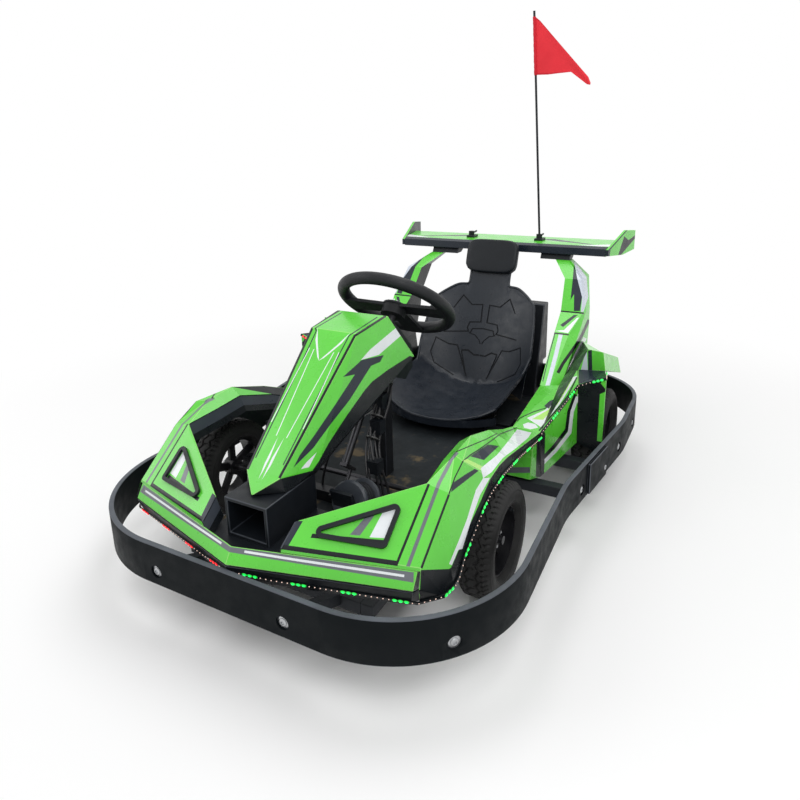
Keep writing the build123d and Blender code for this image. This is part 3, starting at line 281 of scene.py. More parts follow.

# %% [markdown]
# The kart needs some thirty finishes: its plastics, paints and metals, the vinyl of the prints,
# lighter versions that paint a highlight on edges (on the ring partly wear as well), a darker one
# that paints shade in the seat's grooves, and lamps. A table keeps them side by side, so that two
# blacks can be compared and tuned. Blacks differ more by gloss than by colour: the foam rim, the
# tyre and the satin ring are nearly one colour.

# %% Every finish by name
FINISH_TABLE = {
    # finish: material, colour, roughness, clouding, grain, grain scale, and what else it sets
    "bumper": ("ring_rubber", (0.0050, 0.0068, 0.0080), 0.52, 0.06, 0.25, 700,
               {"smear": 0.02, "shine": 0.07}),
    "frame_grey": ("frame_paint", (0.022, 0.025, 0.03), 0.5, 0.15, 0.2, 300, {"shine": 0.25}),
    "floor_black": ("floor_sheet", (0.012, 0.015, 0.017), 0.6, 0.3, 0.3, 120,
                    {"shine": 0.15, "patches": (0.11, 0.085, 0.05)}),
    "body_green": ("shell_green", (0.10, 0.60, 0.038), 0.3, 0.05, 0.05, 500, {"coat": 0.35}),
    "trim_black": ("trim_plastic", (0.007, 0.009, 0.012), 0.42, 0.2, 0.3, 1100, {"shine": 0.25}),
    "seat_black": ("seat_plastic", (0.010, 0.014, 0.021), 0.38, 0.12, 0.35, 1300,
                   {"smear": 0.05, "shine": 0.4}),
    "tyre": ("tyre_rubber", (0.012, 0.012, 0.012), 0.7, 0.3, 0.4, 500, {"dust": 0.2, "shine": 0.3}),
    "rim_black": ("rim_plastic", (0.009, 0.009, 0.011), 0.35, 0.2, 0.2, 900, {"shine": 0.3}),
    "steel": ("bare_steel", (0.42, 0.43, 0.44), 0.32, 0.1, 0.1, 300, {"metal": 1.0}),
    "motor_black": ("black_enamel", (0.010, 0.011, 0.013), 0.4, 0.2, 0.1, 300, {"shine": 0.25}),
    "wheel_grip": ("grip_foam", (0.008, 0.009, 0.011), 0.5, 0.2, 0.5, 1400, {"shine": 0.3}),
    "print_black": ("black_vinyl", (0.006, 0.008, 0.010), 0.3, 0.15, 0.05, 500, {"shine": 0.3}),
    "print_dark": ("slate_vinyl", (0.014, 0.020, 0.032), 0.3, 0.15, 0.05, 500, {"shine": 0.35}),
    "flank_slate": ("slate_flank", (0.040, 0.048, 0.062), 0.35, 0.15, 0.1, 900, {"shine": 0.4}),
    "print_grey": ("grey_vinyl", (0.12, 0.13, 0.15), 0.32, 0.12, 0.05, 500, {"coat": 0.3}),
    "print_silver": ("silver_vinyl", (0.60, 0.65, 0.74), 0.28, 0.06, 0.05, 500, {"coat": 0.3}),
    "print_white": ("white_vinyl", (0.78, 0.82, 0.84), 0.3, 0.04, 0.05, 500, {"coat": 0.3}),
    "print_lime": ("lime_vinyl", (0.42, 0.80, 0.14), 0.3, 0.05, 0.05, 500, {"coat": 0.3}),
    # partly wear, partly painted highlight: the ring's upward faces and rounds
    "ring_worn": ("rubbed_ring_edge", (0.075, 0.084, 0.100), 0.45, 0.3, 0.2, 700, {"shine": 0.3}),
    # a lighter black: painted highlight on the rounds of black parts and on the bellows' caps
    "trim_worn": ("rubbed_trim_edge", (0.036, 0.042, 0.052), 0.4, 0.3, 0.2, 900, {"shine": 0.4}),
    # a lighter green: painted highlight on the rounds of the shell's folds
    "green_worn": ("rubbed_green_edge", (0.26, 0.68, 0.14), 0.3, 0.1, 0.05, 500, {"coat": 0.3}),
    # a darker black: painted shade in the seat's grooves
    "seat_groove": ("seat_groove_plastic", (0.003, 0.004, 0.006), 0.5, 0.2, 0.3, 1300,
                    {"shine": 0.2}),
    # a darker steel for the parts under the cowl
    "steel_oiled": ("oiled_steel", (0.05, 0.05, 0.055), 0.4, 0.2, 0.1, 300, {"metal": 0.8}),
    "steel_satin": ("satin_steel", (0.62, 0.64, 0.66), 0.3, 0.08, 0.1, 600, {"metal": 1.0}),
    "wire_black": ("wire_sleeve", (0.011, 0.011, 0.013), 0.35, 0.3, 0.1, 600, {"shine": 0.35}),
    "wire_tie": ("wire_tie_nylon", (0.06, 0.06, 0.06), 0.4, 0.1, 0.1, 600, {}),
    "bellows_rubber": ("bellows_rubber", (0.014, 0.016, 0.019), 0.5, 0.2, 0.2, 800, {"shine": 0.3}),
    "flag_red": ("flag_cloth", (0.80, 0.035, 0.05), 0.7, 0.08, 0.3, 900, {"shine": 0.2}),
    "flag_hem": ("flag_hem_cloth", (0.62, 0.02, 0.035), 0.7, 0.08, 0.3, 900, {"shine": 0.2}),
}
LAMP_TABLE = {
    # finish: material, colour, strength
    "lamp_green": ("green_lamp", (0.0, 1.0, 0.10), 3.2),
    "lamp_red": ("red_lamp", (1.0, 0.02, 0.02), 3.2),
    "lamp_green_cover": ("green_lamp_cover", (0.0, 0.75, 0.05), 0.9),
    "lamp_red_cover": ("red_lamp_cover", (0.8, 0.0, 0.01), 0.9),
    "lamp_spark": ("white_spark", (1.0, 0.72, 0.6), 0.9),
}
FINISHES = {}
for finish, (*amounts, others) in FINISH_TABLE.items():
    FINISHES[finish] = finish_material(*amounts, **others)
for finish, amounts in LAMP_TABLE.items():
    FINISHES[finish] = lamp_material(*amounts)
print(len(FINISHES), "finishes are ready")

# %% Finishes on the solids
# The column, track rod and knuckles under the cowl get a darker steel than the rest.
DARK_STEEL_UNDER_COWL = ("steering_column", "track_rod", "knuckle_left", "knuckle_right")
for part in frame["record"]["subparts"]:
    mesh = nodes[part["node"]].data
    mesh.materials.clear()
    finish = "steel_oiled" if part["node"] in DARK_STEEL_UNDER_COWL else part["material_slot"]
    mesh.materials.append(FINISHES[finish])
print(len(nodes), "solids have their finish")

# %% [markdown]
# The green shell is folded from 3 mm sheet. A fold in real sheet is never knife sharp, and its
# small round is what catches the light. Bevelling every sharp edge by about a millimetre gives
# that round. The solids stay untouched: each shell panel is copied, its doubled points are
# merged, its flat faces are joined, and the copy is shown in the solid's place.

# %% Copies of the solids that can be reworked
DOUBLED = 0.00002
FOLD_ANGLE = 22
SHORTEST_EDGE = 2.5


def copy_of(node, join_flat=True):
    """The node's faces as one closed mesh, with flat faces joined unless asked otherwise."""
    work = bmesh.new()
    work.from_mesh(nodes[node].data)
    bmesh.ops.remove_doubles(work, verts=work.verts, dist=DOUBLED)
    if join_flat:
        bmesh.ops.dissolve_limit(work, angle_limit=math.radians(1), verts=work.verts, edges=work.edges)
    return work


def soften(work, width, round_finish=-1):
    """Rounds the sharp edges, and gives the rounds a finish; very short edges stay."""
    edges = [edge for edge in work.edges
             if edge.is_manifold and edge.calc_length() > SHORTEST_EDGE * width
             and edge.calc_face_angle(0) > math.radians(FOLD_ANGLE)]
    bmesh.ops.bevel(work, geom=edges, offset=width, offset_type="OFFSET", segments=2,
                    profile=0.5, affect="EDGES", clamp_overlap=True, material=round_finish)
    work.normal_update()


def show(name, work, finishes, body="kart", instead_of=(), smooth=None):
    """Turns a finished bmesh into a piece that rides on a body."""
    mesh = bpy.data.meshes.new(name)
    work.to_mesh(mesh)
    work.free()
    for finish in finishes:
        mesh.materials.append(FINISHES[finish])
    piece = bpy.data.objects.new(name, mesh)
    bpy.context.scene.collection.objects.link(piece)
    if smooth is not None:
        mesh.shade_smooth()
        mesh.set_sharp_from_angle(angle=math.radians(smooth))
    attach(piece, body)
    if instead_of:
        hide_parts(*instead_of)
    return piece


print("helpers for reworked copies are ready")

# %% [markdown]
# The bands and flashes on the shell are printed vinyl, laid over the folds. Paint by texture
# would need an image, and stickers that float over the sheet show a shadow gap. So each print
# is cut into the sheet itself: the outline is thrown on the shell from a standing point, as a
# stencil throws its shadow, the faces are sliced along it, and the faces inside it change
# finish. From the standing point every edge is dead straight, also where it crosses a fold.

# %% How an outline looks from the standing point
NEARLY_UPRIGHT = Vector((0.03, 0.02, 1))
TOUCHING = 1e-7


def neighbours(items):
    """Each item with the one after it, and the last with the first."""
    return zip(items, items[1:] + items[:1])


def flat_pair(point, eye, across, upward, ahead):
    """Where a point appears from the eye, as two numbers."""
    sight = point - eye
    depth = sight.dot(ahead)
    return sight.dot(across) / depth, sight.dot(upward) / depth


def outside_of(outline, shape):
    """True when some edge of the outline has the whole shape on its outer side."""
    area = sum(a[0] * b[1] - b[0] * a[1] for a, b in neighbours(outline))
    turn = 1 if area > 0 else -1
    for (ax, ay), (bx, by) in neighbours(outline):
        if all(turn * ((bx - ax) * (y - ay) - (by - ay) * (x - ax)) < TOUCHING for x, y in shape):
            return True
    return False


def outline_normal(corners):
    """The way an outline faces, also when it is slightly bent."""
    return sum((here.cross(after) for here, after in neighbours(corners)), Vector()).normalized()


print("outlines can be compared from", [round(value, 2) for value in STANDING_POINT])

# %% Cutting one convex print
NEAREST = 0.05


def faces_behind(work, corners, eye, facing):
    """The faces that look at the eye and that the outline covers, seen from there."""
    middle = sum(corners, Vector()) / len(corners)
    ahead = (middle - eye).normalized()
    across = ahead.cross(NEARLY_UPRIGHT).normalized()
    upward = across.cross(ahead)
    outline = [flat_pair(corner, eye, across, upward, ahead) for corner in corners]
    found = []
    for face in work.faces:
        centre = face.calc_center_median()
        if face.normal.dot((eye - centre).normalized()) < facing or (centre - eye).dot(ahead) < NEAREST:
            continue
        shape = [flat_pair(vertex.co, eye, across, upward, ahead) for vertex in face.verts]
        if not outside_of(outline, shape):
            found.append(face)
    return found


def with_borders(faces):
    """The faces with their edges and corners, as the mesh tools want them."""
    parts = set(faces)
    for face in faces:
        parts.update(face.edges)
        parts.update(face.verts)
    return list(parts)


def cut_print(work, corners, eye, finish, depth, facing):
    """Slices the faces seen from the eye inside a convex outline, and gives them a finish."""
    middle = sum(corners, Vector()) / len(corners)
    inside = faces_behind(work, corners, eye, facing)
    for here, after in neighbours(corners):
        normal = (here - eye).cross(after - eye).normalized()
        if normal.dot(middle - eye) > 0:
            normal.negate()
        result = bmesh.ops.bisect_plane(work, geom=with_borders(inside), plane_co=eye, plane_no=normal,
                                        dist=TOUCHING)
        inside = [item for item in result["geom"] if isinstance(item, bmesh.types.BMFace)
                  and normal.dot(item.calc_center_median() - eye) < 0]
    through = outline_normal(corners)
    for face in inside:
        if abs(through.dot(face.calc_center_median() - middle)) < depth:
            face.material_index = finish


print("one print can be cut")

# %% Prints of any outline, and stripes
SHARPEST_MITRE = 0.35


def on_side(points, eye, side):
    """A print's points and its eye in the model, on one side of the kart."""
    return [place(side * x, y, z) for x, y, z in points], Vector((side * eye.x, eye.y, eye.z))


def stencil(work, finish, outline, eye=STANDING_POINT, depth=0.04, facing=0.06, sides=(1, -1)):
    """A print of any outline, on one side of the kart or on both."""
    for side in sides:
        corners, here = on_side(outline, eye, side)
        if len(corners) < 5:
            pieces = [corners]
        else:
            pieces = [[corners[i] for i in trio] for trio in tessellate_polygon([corners])]
        for piece in pieces:
            cut_print(work, piece, here, finish, depth, facing)


def stripe(work, finish, line, width, depth=0.04, facing=0.06):
    """A print of even width along a line, mitred where the line turns, on both sides."""
    for side in (1, -1):
        points, here = on_side(line, STANDING_POINT, side)
        steps = [(b - a).normalized() for a, b in zip(points, points[1:])]
        left, right = [], []
        for i, point in enumerate(points):
            after = steps[min(len(steps) - 1, i)]
            along = (steps[max(0, i - 1)] + after).normalized()
            aside = along.cross(point - here).normalized()
            reach = width / 2000 / max(SHARPEST_MITRE, along.dot(after))
            left.append(point + aside * reach)
            right.append(point - aside * reach)
        for i in range(len(points) - 1):
            cut_print(work, [left[i], left[i + 1], right[i + 1], right[i]], here, finish, depth, facing)


print("prints and stripes can be cut on both sides")

# %% [markdown]
# Black parts are seen less by their colour than by their edges, where the light catches. So the
# black parts get the same soft edge as the shell, and the bevel's own faces get a slightly lighter
# finish: a painted highlight.

# %% Soft edges and painted highlights on the black parts
SOFT_EDGES = {
    # node: round in metres, finish of the faces, finish of the round
    "air_duct": (0.0018, "trim_black", "trim_worn"),
    "nose_deck": (0.0008, "trim_black", "trim_worn"),
    "nose_skirt": (0.0008, "trim_black", "trim_worn"),
    "recess_frames": (0.0024, "trim_black", "trim_worn"),
    "rear_box": (0.004, "trim_black", "trim_worn"),
    "dash_cover": (0.003, "trim_black", "trim_worn"),
    "column_post": (0.0018, "motor_black", "trim_worn"),
    "pedals": (0.001, "trim_black", "trim_worn"),
    "wing_brackets": (0.0018, "trim_black", "trim_worn"),
    "flag_clamps": (0.001, "trim_black", "trim_worn"),
    "frame_rails": (0.0022, "frame_grey", "frame_grey"),
    "cross_tubes": (0.0022, "frame_grey", "frame_grey"),
    "outriggers": (0.0022, "frame_grey", "frame_grey"),
    "bumper_stays": (0.0018, "frame_grey", "frame_grey"),
    "front_beam": (0.0012, "motor_black", "motor_black"),
    "drive_motors": (0.002, "motor_black", "trim_worn"),
    "seat_brackets": (0.0012, "motor_black", "motor_black"),
}
for node, (width, finish, edge_finish) in SOFT_EDGES.items():
    work = copy_of(node)
    soften(work, width, round_finish=1)
    piece = show(node + "_softened", work, [finish, edge_finish], instead_of=(node,))
    print(node, len(piece.data.polygons), "faces")

# %% [markdown]
# Every print is a short list of corners on the drawing, for the driver's left half, and the
# loop mirrors it. A row with a width in millimetres is a stripe along a line, and a row without
# one is an outline. Later prints lie over earlier ones, as vinyl does. The nose lip carries a
# dark band with a white pinstripe, and the wing beside the nose a black coach line and a grey
# flash that climbs over the arm.

# %% Prints on the nose lip and the front fenders
PRINTS = {
    "nose_lip": [
        ("grey", [(0, -719, 248), (144, -681, 248), (364, -624, 248), (368, -633, 233),
         (148, -687, 236), (0, -725, 240)]),
        ("white", [(31, -714, 244), (145, -685, 242), (348, -632, 240)], 4.5),
    ],
    "front_fenders": [
        ("black", [(104, -686, 260), (331, -625, 257)], 9),
        ("black", [(329, -629, 254), (334, -495, 359)], 5),
        ("grey", [(348, -624, 256), (355, -622, 256), (354, -480, 359), (354, -440, 373),
         (353, -418, 381), (356, -395, 387), (343, -385, 382), (345, -421, 380), (347, -484, 359)]),
        ("black", [(376, -616, 256), (378, -495, 347)], 4.5),
        ("black", [(378, -495, 348), (375, -458, 366), (376, -421, 384), (373, -374, 376),
         (372, -315, 364), (364, -225, 342), (356, -140, 322), (347, 20, 271)], 2.6),
        ("black", [(348, -391, 386), (362, -349, 384), (364, -255, 360), (352, -150, 327)], 2.2),
        ("lime", [(376, -420, 385), (376, -398, 379), (395, -337, 333), (396, -363, 339)]),
        ("dark", [(375, -379, 376), (375, -273, 357), (383, -222, 332), (386, -326, 345)]),
        ("white", [(402, -371, 327), (392, -360, 343), (396, -270, 334), (386, -175, 320),
         (353, 5, 274), (392, 5, 272), (399, -49, 281), (405, -170, 306), (405, -255, 322),
         (405, -327, 321)]),
        ("dark", [(379, -487, 348), (376, -472, 360), (384, -423, 358), (390, -389, 355),
         (395, -379, 347), (391, -397, 346)]),
        ("white", [(407, -517, 243), (402, -445, 291), (400, -407, 317), (402, -371, 327),
         (408, -346, 317), (406, -398, 302), (407, -440, 278), (410, -502, 237)]),
        ("white", [(405, -548, 229), (406, -500, 256), (405, -445, 286)], 6),
        ("grey", [(238, -588, 308), (258, -576, 318), (243, -617, 286), (223, -622, 285)]),
        ("white", [(270, -570, 321), (293, -556, 328), (291, -604, 287), (262, -612, 285)]),
        ("black", [(150, -646, 280), (292, -606, 284), (291, -613, 279), (150, -652, 274)]),
    ],
}
print(len(PRINTS["front_fenders"]), "prints on each front fender")

# %% [markdown]
# The cowl over the steering column has a black coach line beside each fold, fine pinstripes
# down its front, and a long arrow on each side. The towers and the bodywork over the rear
# wheels carry silver, white and dark flashes that run on from panel to panel.

# %% Prints on the cowl, the pods, the towers and the rear fenders
PRINTS.update({
    "steering_cowl": [
        ("black", [(43, -606, 356), (62, -325, 590), (70, -192, 606)], 5.5),
        ("dark", [(37, -584, 374), (43, -405, 524), (47, -326, 589), (54, -206, 605)], 2.4),
        ("white", [(42, -364, 558), (44, -518, 430)], 1.7),
        ("white", [(28, -364, 557), (14, -539, 412)], 1.7),
        ("white", [(8, -540, 411), (3, -578, 380), (5, -618, 348), (9, -590, 370)]),
        ("white", [(0, -387, 539), (10, -380, 545), (38, -346, 574), (46, -318, 594), (27, -350, 569)]),
        ("white", [(74, -321, 531), (76, -283, 545), (84, -168, 570), (91, -148, 548),
         (82, -252, 524)]),
        ("dark", [(68, -391, 511), (74, -318, 530), (85, -233, 518), (85, -252, 506), (81, -288, 507),
         (77, -381, 453), (73, -458, 421), (65, -514, 388), (54, -572, 366), (55, -549, 385),
         (61, -507, 410), (70, -431, 458), (75, -352, 505)]),
        ("white", [(61, -556, 357), (64, -538, 366), (70, -509, 377), (68, -537, 354)]),
    ],
    "side_pods": [
        ("black", [(334, 60, 271), (334, 85, 271), (356, 134, 274), (382, 174, 276),
         (400, 211, 287)], 2.6),
        ("white", [(352, 91, 272), (383, 161, 275), (391, 215, 279), (390, 303, 289), (418, 322, 326),
         (436, 304, 339), (431, 234, 321), (426, 156, 303), (415, 107, 287), (402, 56, 269)]),
        ("lime", [(366, 91, 271), (392, 161, 277), (402, 225, 293), (404, 300, 308), (424, 304, 331),
         (422, 234, 314), (417, 160, 297), (398, 90, 276)]),
        ("dark", [(373, 184, 276), (378, 227, 278), (392, 229, 285), (391, 215, 281), (391, 172, 276)]),
        ("white", [(354, 50, 270), (363, 66, 271), (383, 66, 270), (397, 50, 269), (381, 32, 268),
         (363, 32, 269)]),
        # This black stripe along the pod's outer edge, just inside the lamp ribbon, is a painted shade.
        ("black", [(404, 34, 268), (416, 89, 285), (429, 145, 302), (438, 193, 316),
         (437, 297, 337)], 4),
        ("black", [(408, 50, 173), (428, 112, 195), (444, 175, 220), (445, 187, 273),
         (452, 225, 311)], 9),
        ("white", [(408, 54, 158), (430, 118, 178), (449, 190, 206), (450, 203, 266),
         (456, 232, 302)], 9),
        ("grey", [(333, -20, 160), (399, -20, 176)], 15),
        ("black", [(408, 40, 262), (408, 45, 125)], 22),
    ],
    "towers": [
        ("silver", [(336, 347, 275), (329, 456, 339), (320, 546, 389)], 13),
        ("dark", [(317, 360, 283), (306, 470, 345), (300, 546, 389)], 3),
        ("black", [(293, 549, 389), (346, 549, 389)], 5),
        ("white", [(297, 556, 395), (342, 554, 393), (360, 625, 432), (354, 617, 431),
         (325, 564, 399)]),
        ("dark", [(307, 582, 410), (341, 628, 438), (354, 630, 439), (319, 575, 406)]),
        ("black", [(291, 638, 444), (372, 640, 444)], 5),
        ("dark", [(337, 641, 448), (357, 642, 450), (355, 674, 492), (293, 793, 583), (307, 730, 556),
         (318, 664, 480), (326, 678, 499)]),
        ("silver", [(361, 640, 447), (368, 650, 447), (362, 740, 480), (345, 770, 545), (285, 823, 591),
         (324, 718, 550), (355, 674, 492)]),
        ("black", [(372, 724, 400), (372, 600, 362), (357, 446, 322), (352, 405, 302)], 10),
        ("white", [(372, 680, 345), (372, 560, 322), (372, 470, 290)], 12),
    ],
    "rear_fenders": [
        ("silver", [(437, 346, 345), (446, 344, 393), (452, 344, 404), (458, 344, 346)]),
        ("dark", [(459, 344, 346), (455, 344, 408), (466, 344, 413), (471, 344, 347)]),
        ("white", [(378, 452, 312), (372, 470, 330), (420, 440, 385), (450, 375, 405),
         (440, 372, 398)]),
        ("black", [(374, 436, 303), (436, 358, 382)], 4),
        ("dark", [(456, 242, 337), (530, 242, 369), (508, 343, 353), (430, 343, 345)]),
    ],
})
for shell, prints in PRINTS.items():
    print(shell, "carries", len(prints), "prints on each half")

# %% Copies of the green shells
SHELL_FINISHES = ["body_green", "print_black", "print_dark", "print_grey", "print_silver",
                  "print_white", "print_lime", "green_worn"]
GREEN, BLACK, DARK, WHITE, EDGE_HIGHLIGHT = (SHELL_FINISHES.index(finish) for finish in (
    "body_green", "print_black", "print_dark", "print_white", "green_worn"))
# The rounds of the folds get a lighter green: a painted highlight along each fold.
FOLD_ROUND = 0.0011
shells = {}
for node in (*PRINTS, "wing_blade", "wing_end_plates"):
    shells[node] = copy_of(node)
    soften(shells[node], FOLD_ROUND, round_finish=EDGE_HIGHLIGHT)
    print(node, "has", len(shells[node].faces), "faces before it is printed")

# %% [markdown]
# A few whole panels are black plastic beside the green sheet: the lip under each fender arm, the
# toe beside the front wheel, the cowl's underside and the wheel guard ahead of each rear wheel.
# They are cut the same way and before the prints, so that a print may run over them. Most are
# seen squarely from the side or the front; the rest from the same standing point as the prints.

# %% Outlines of the black panels
FAR_LEFT = place(4000, -200, 260)
FAR_FRONT = place(0, -6000, 300)
FENDER_LIP = [
    (408, -553, 225), (408, -458, 267), (409, -395, 294), (409, -345, 315), (409, -290, 320),
    (409, -235, 315), (409, -150, 299), (410, 28, 267), (410, 28, 240), (410, -148, 270),
    (410, -270, 280), (410, -344, 274), (411, -394, 262), (412, -452, 232), (412, -497, 209),
    (414, -532, 182), (415, -600, 180), (400, -600, 222),
]
FENDER_FRONT = [(374, -700, 180), (374, -700, 222), (440, -500, 222), (440, -500, 180)]
TOE = [(376, -628, 176), (376, -618, 253), (404, -553, 222), (412, -500, 215), (416, -520, 176)]
NOSE_CORNER = [(104, -690, 262), (118, -688, 262), (124, -640, 297), (107, -643, 295)]
COWL_SIDE = [(-3, -650, 323), (46, -606, 354), (76, -518, 341), (104, -108, 476), (60, -100, 400),
             (50, -520, 300), (40, -640, 300)]
COWL_FRONT = [(0, -650, 325), (46, -606, 355), (90, -500, 335), (90, -500, 300), (0, -650, 300)]
COWL_BELLY = [
    (97, -120, 483), (97, -167, 481), (91, -226, 478), (85, -291, 469), (83, -324, 458),
    (79, -403, 420), (76, -472, 383), (75, -510, 357), (73, -530, 346), (60, -520, 300),
    (62, -350, 300), (66, -150, 400), (112, -90, 470),
]
BLACK_PANELS = [
    # shell, finish, outline, eye, how deep it reaches, how squarely a face must look at the eye
    ("front_fenders", BLACK, FENDER_LIP, FAR_LEFT, 0.1, 0.3),
    ("front_fenders", BLACK, FENDER_FRONT, FAR_FRONT, 0.3, 0.3),
    ("front_fenders", BLACK, TOE, STANDING_POINT, 0.1, 0.06),
    ("front_fenders", DARK, NOSE_CORNER, STANDING_POINT, 0.04, 0.06),
    ("steering_cowl", BLACK, COWL_SIDE, FAR_LEFT, 0.2, 0.02),
    ("steering_cowl", BLACK, COWL_FRONT, FAR_FRONT, 0.3, 0.02),
    ("steering_cowl", BLACK, COWL_BELLY, STANDING_POINT, 0.2, 0.01),
]
print(len(BLACK_PANELS), "panels under the prints")

# %% Cut the panels, the prints and the wheel guards
for shell, *how in BLACK_PANELS:
    stencil(shells[shell], *how)
for shell, prints in PRINTS.items():
    for colour, points, *width in prints:
        cut = stripe if width else stencil
        cut(shells[shell], SHELL_FINISHES.index("print_" + colour), points, *width)
GUARD = [(440, 239, 100), (536, 239, 100), (536, 239, 372), (440, 239, 336)]
GUARD_EDGE = [(517, 239, 172), (536, 239, 172), (536, 239, 330), (517, 239, 318)]
GUARD_CORNER = [(517, 239, 351), (536, 239, 330), (536, 239, 376)]
for finish, outline in ((BLACK, GUARD), (GREEN, GUARD_EDGE), (GREEN, GUARD_CORNER)):
    stencil(shells["rear_fenders"], finish, outline, FAR_FRONT, 0.03, 0.7)
print(sum(len(prints) for prints in PRINTS.values()), "prints cut on each half")

# %% [markdown]
# The rear wing's leading edge is dark, its top carries white ends, and the outer faces of its
# end plates are green with a black flash; inside they are black. Every face of a shell that
# turns inward or downward gets the black finish.

# %% Rear wing and its end plates
OVER_WING = place(300, 880, 3000)
BESIDE_WING = place(4000, 900, 640)
WING_EDGE = [(-470, 795, 605), (470, 795, 605), (470, 795, 647.5), (-470, 795, 647.5)]
WING_END = [(290, 822, 650), (380, 816, 650), (408, 822, 650), (414, 862, 650), (350, 838, 650)]
WING_FLASH = [(120, 905, 650), (330, 838, 650), (350, 842, 650), (180, 925, 650)]
PLATE_FRONT = [(380, 795, 600), (475, 795, 600), (475, 795, 641), (380, 795, 641)]
PLATE_EDGE = [(410, 790, 616), (410, 790, 641), (441, 948, 694), (441, 966, 694), (412, 812, 640),
              (412, 806, 616)]
PLATE_FLASH = [(432, 880, 604), (440, 905, 604), (455, 1042, 652), (455, 1042, 664),
               (447, 975, 652), (441, 930, 672)]
stencil(shells["wing_blade"], DARK, WING_EDGE, FAR_FRONT, 0.2, 0.2, sides=(1,))
for finish, outline in ((WHITE, WING_END), (DARK, WING_FLASH)):
    stencil(shells["wing_blade"], finish, outline, OVER_WING, 0.1, 0.5)
stencil(shells["wing_end_plates"], DARK, PLATE_FRONT, FAR_FRONT, 0.1, 0.5)
for finish, outline in ((DARK, PLATE_EDGE), (BLACK, PLATE_FLASH)):
    stencil(shells["wing_end_plates"], finish, outline, BESIDE_WING, 0.1, 0.3)
print("the wing is printed")

# %% Inward and downward faces in black, and the finished shells
INWARD, DOWNWARD = -0.6, -0.5
for name, work in shells.items():
    work.normal_update()
    for face in work.faces:
        outward = face.normal.x * (1 if face.calc_center_median().x > 0 else -1)
        if outward < INWARD or face.normal.z < DOWNWARD:
            face.material_index = BLACK
    show(name + "_shell", work, SHELL_FINISHES, instead_of=(name,))
    print(name, "is dressed")

# %% [markdown]
# Most small parts are stacks of rings with faces between them: a lamp's dome, a nut, a wire, a
# tyre. So two helpers serve them all: one gives the points of a round or oval ring, the other
# joins the rings. Blender's own cylinders could make some of these, but a list of radii and
# heights can be read and changed in one line.

# %% Rings and the faces between them
def oval(middle, reach, other_reach, steps):
    """Points round an oval with two half axes; equal ones at right angles make a circle."""
    return [middle + reach * math.cos(math.tau * k / steps) + other_reach * math.sin(math.tau * k / steps)
            for k in range(steps)]


def join_rings(work, rings, ends="closed"):
    """Faces between rings of points, whose two ends are closed, left open, or joined."""
    rings = [[work.verts.new(point) for point in ring] for ring in rings]
    steps = len(rings[0])
    for low, high in neighbours(rings) if ends == "joined" else zip(rings, rings[1:]):
        for k in range(steps):
            after = (k + 1) % steps
            work.faces.new((low[k], low[after], high[after], high[k]))
    if ends == "closed":
        work.faces.new(rings[0][::-1])
        work.faces.new(rings[-1])
    return rings


def turned(work, where, axis, profile, steps=20):
    """A solid of revolution: the profile lists radius and height along the axis, in millimetres."""
    axis = Vector(axis).normalized()
    side = axis.orthogonal().normalized()
    other = axis.cross(side)
    join_rings(work, [oval(where + axis * (height / 1000), side * (radius / 1000), other * (radius / 1000),
                           steps) for radius, height in profile])


print("helpers for rings are ready")

# %% [markdown]
# A lamp ribbon runs round the front and back along both sides: a black strip with small lamps
# under clear silicone. Every nine lamps, three shine in colour, red on the driver's right and
# green on the left, and six are faint white sparks. Each coloured lamp is a bright core in a
# soft dome, because the silicone spreads the light; the dome is what the eye reads as a glow.

# %% The ribbon's path
LAMP_PATH = [
    # x, y, z of the path, then the way it faces
    ((0, -735.4, 205), (0, -1, -0.2)),
    ((90, -709.2, 196), (0.25, -0.94, -0.24)),
    ((375, -632, 190), (0.25, -0.94, -0.24)),
    ((411, -591, 190), (0.8, -0.6, 0)),
    ((416, -556, 189), (1, -0.1, 0)),
    ((415, -532, 192), (1, 0, 0)),
    ((413, -497, 219), (1, 0, 0.1)),
    ((413, -452, 242), (1, 0, 0.1)),
    ((412, -394, 271), (1, 0, 0.1)),
    ((411, -344, 282), (1, 0, 0.1)),
    ((411, -270, 288), (1, 0, 0.1)),
    ((411, -148, 278), (1, 0, 0.1)),
    ((411, 26, 252), (1, 0, 0.1)),
    ((411, 31, 265), (0.9, -0.1, 0.4)),
    ((433, 134, 298), (0.9, -0.2, 0.4)),
    ((455, 238, 333), (0.8, -0.5, 0.4)),
    ((490, 238, 349), (0, -1, 0.1)),
    ((531, 239, 366), (0.3, -0.9, 0.2)),
    ((512, 341, 350), (0.9, 0.1, 0.3)),
]
RIBBON_WIDTH = 8.0
RIBBON_WALL = 2.0
LAMP_PITCH = 11.4


def ribbon_frames(side):
    """Points along the ribbon with the directions along it, across it and out of it."""
    points = [place(side * x, y, z) for (x, y, z), facing in LAMP_PATH]
    facings = [Vector((side * x, y, z)).normalized() for where, (x, y, z) in LAMP_PATH]
    frames = []
    for i, point in enumerate(points):
        along = (points[min(i + 1, len(points) - 1)] - points[max(i - 1, 0)]).normalized()
        outward = (facings[i] - along * facings[i].dot(along)).normalized()
        frames.append((point, along, outward.cross(along), outward))
    return frames


print("the ribbon bends at", len(LAMP_PATH) - 2, "points on each side")

# %% The ribbon's strip and one lamp
STRIP_SECTION = [(-1, 0.1), (1, 0.1), (1, 0.8), (0.7, 1), (-0.7, 1), (-1, 0.8)]
DOME_LEVELS = [(0, 1.0), (0.55, 0.86), (0.88, 0.5)]
DOME_STEPS = 10
CORE = (0.0058, 0.0044, 0.0022)
COVER = (0.0108, 0.0080, 0.0012)
SPARK = (0.0026, 0.0024, 0.0012)


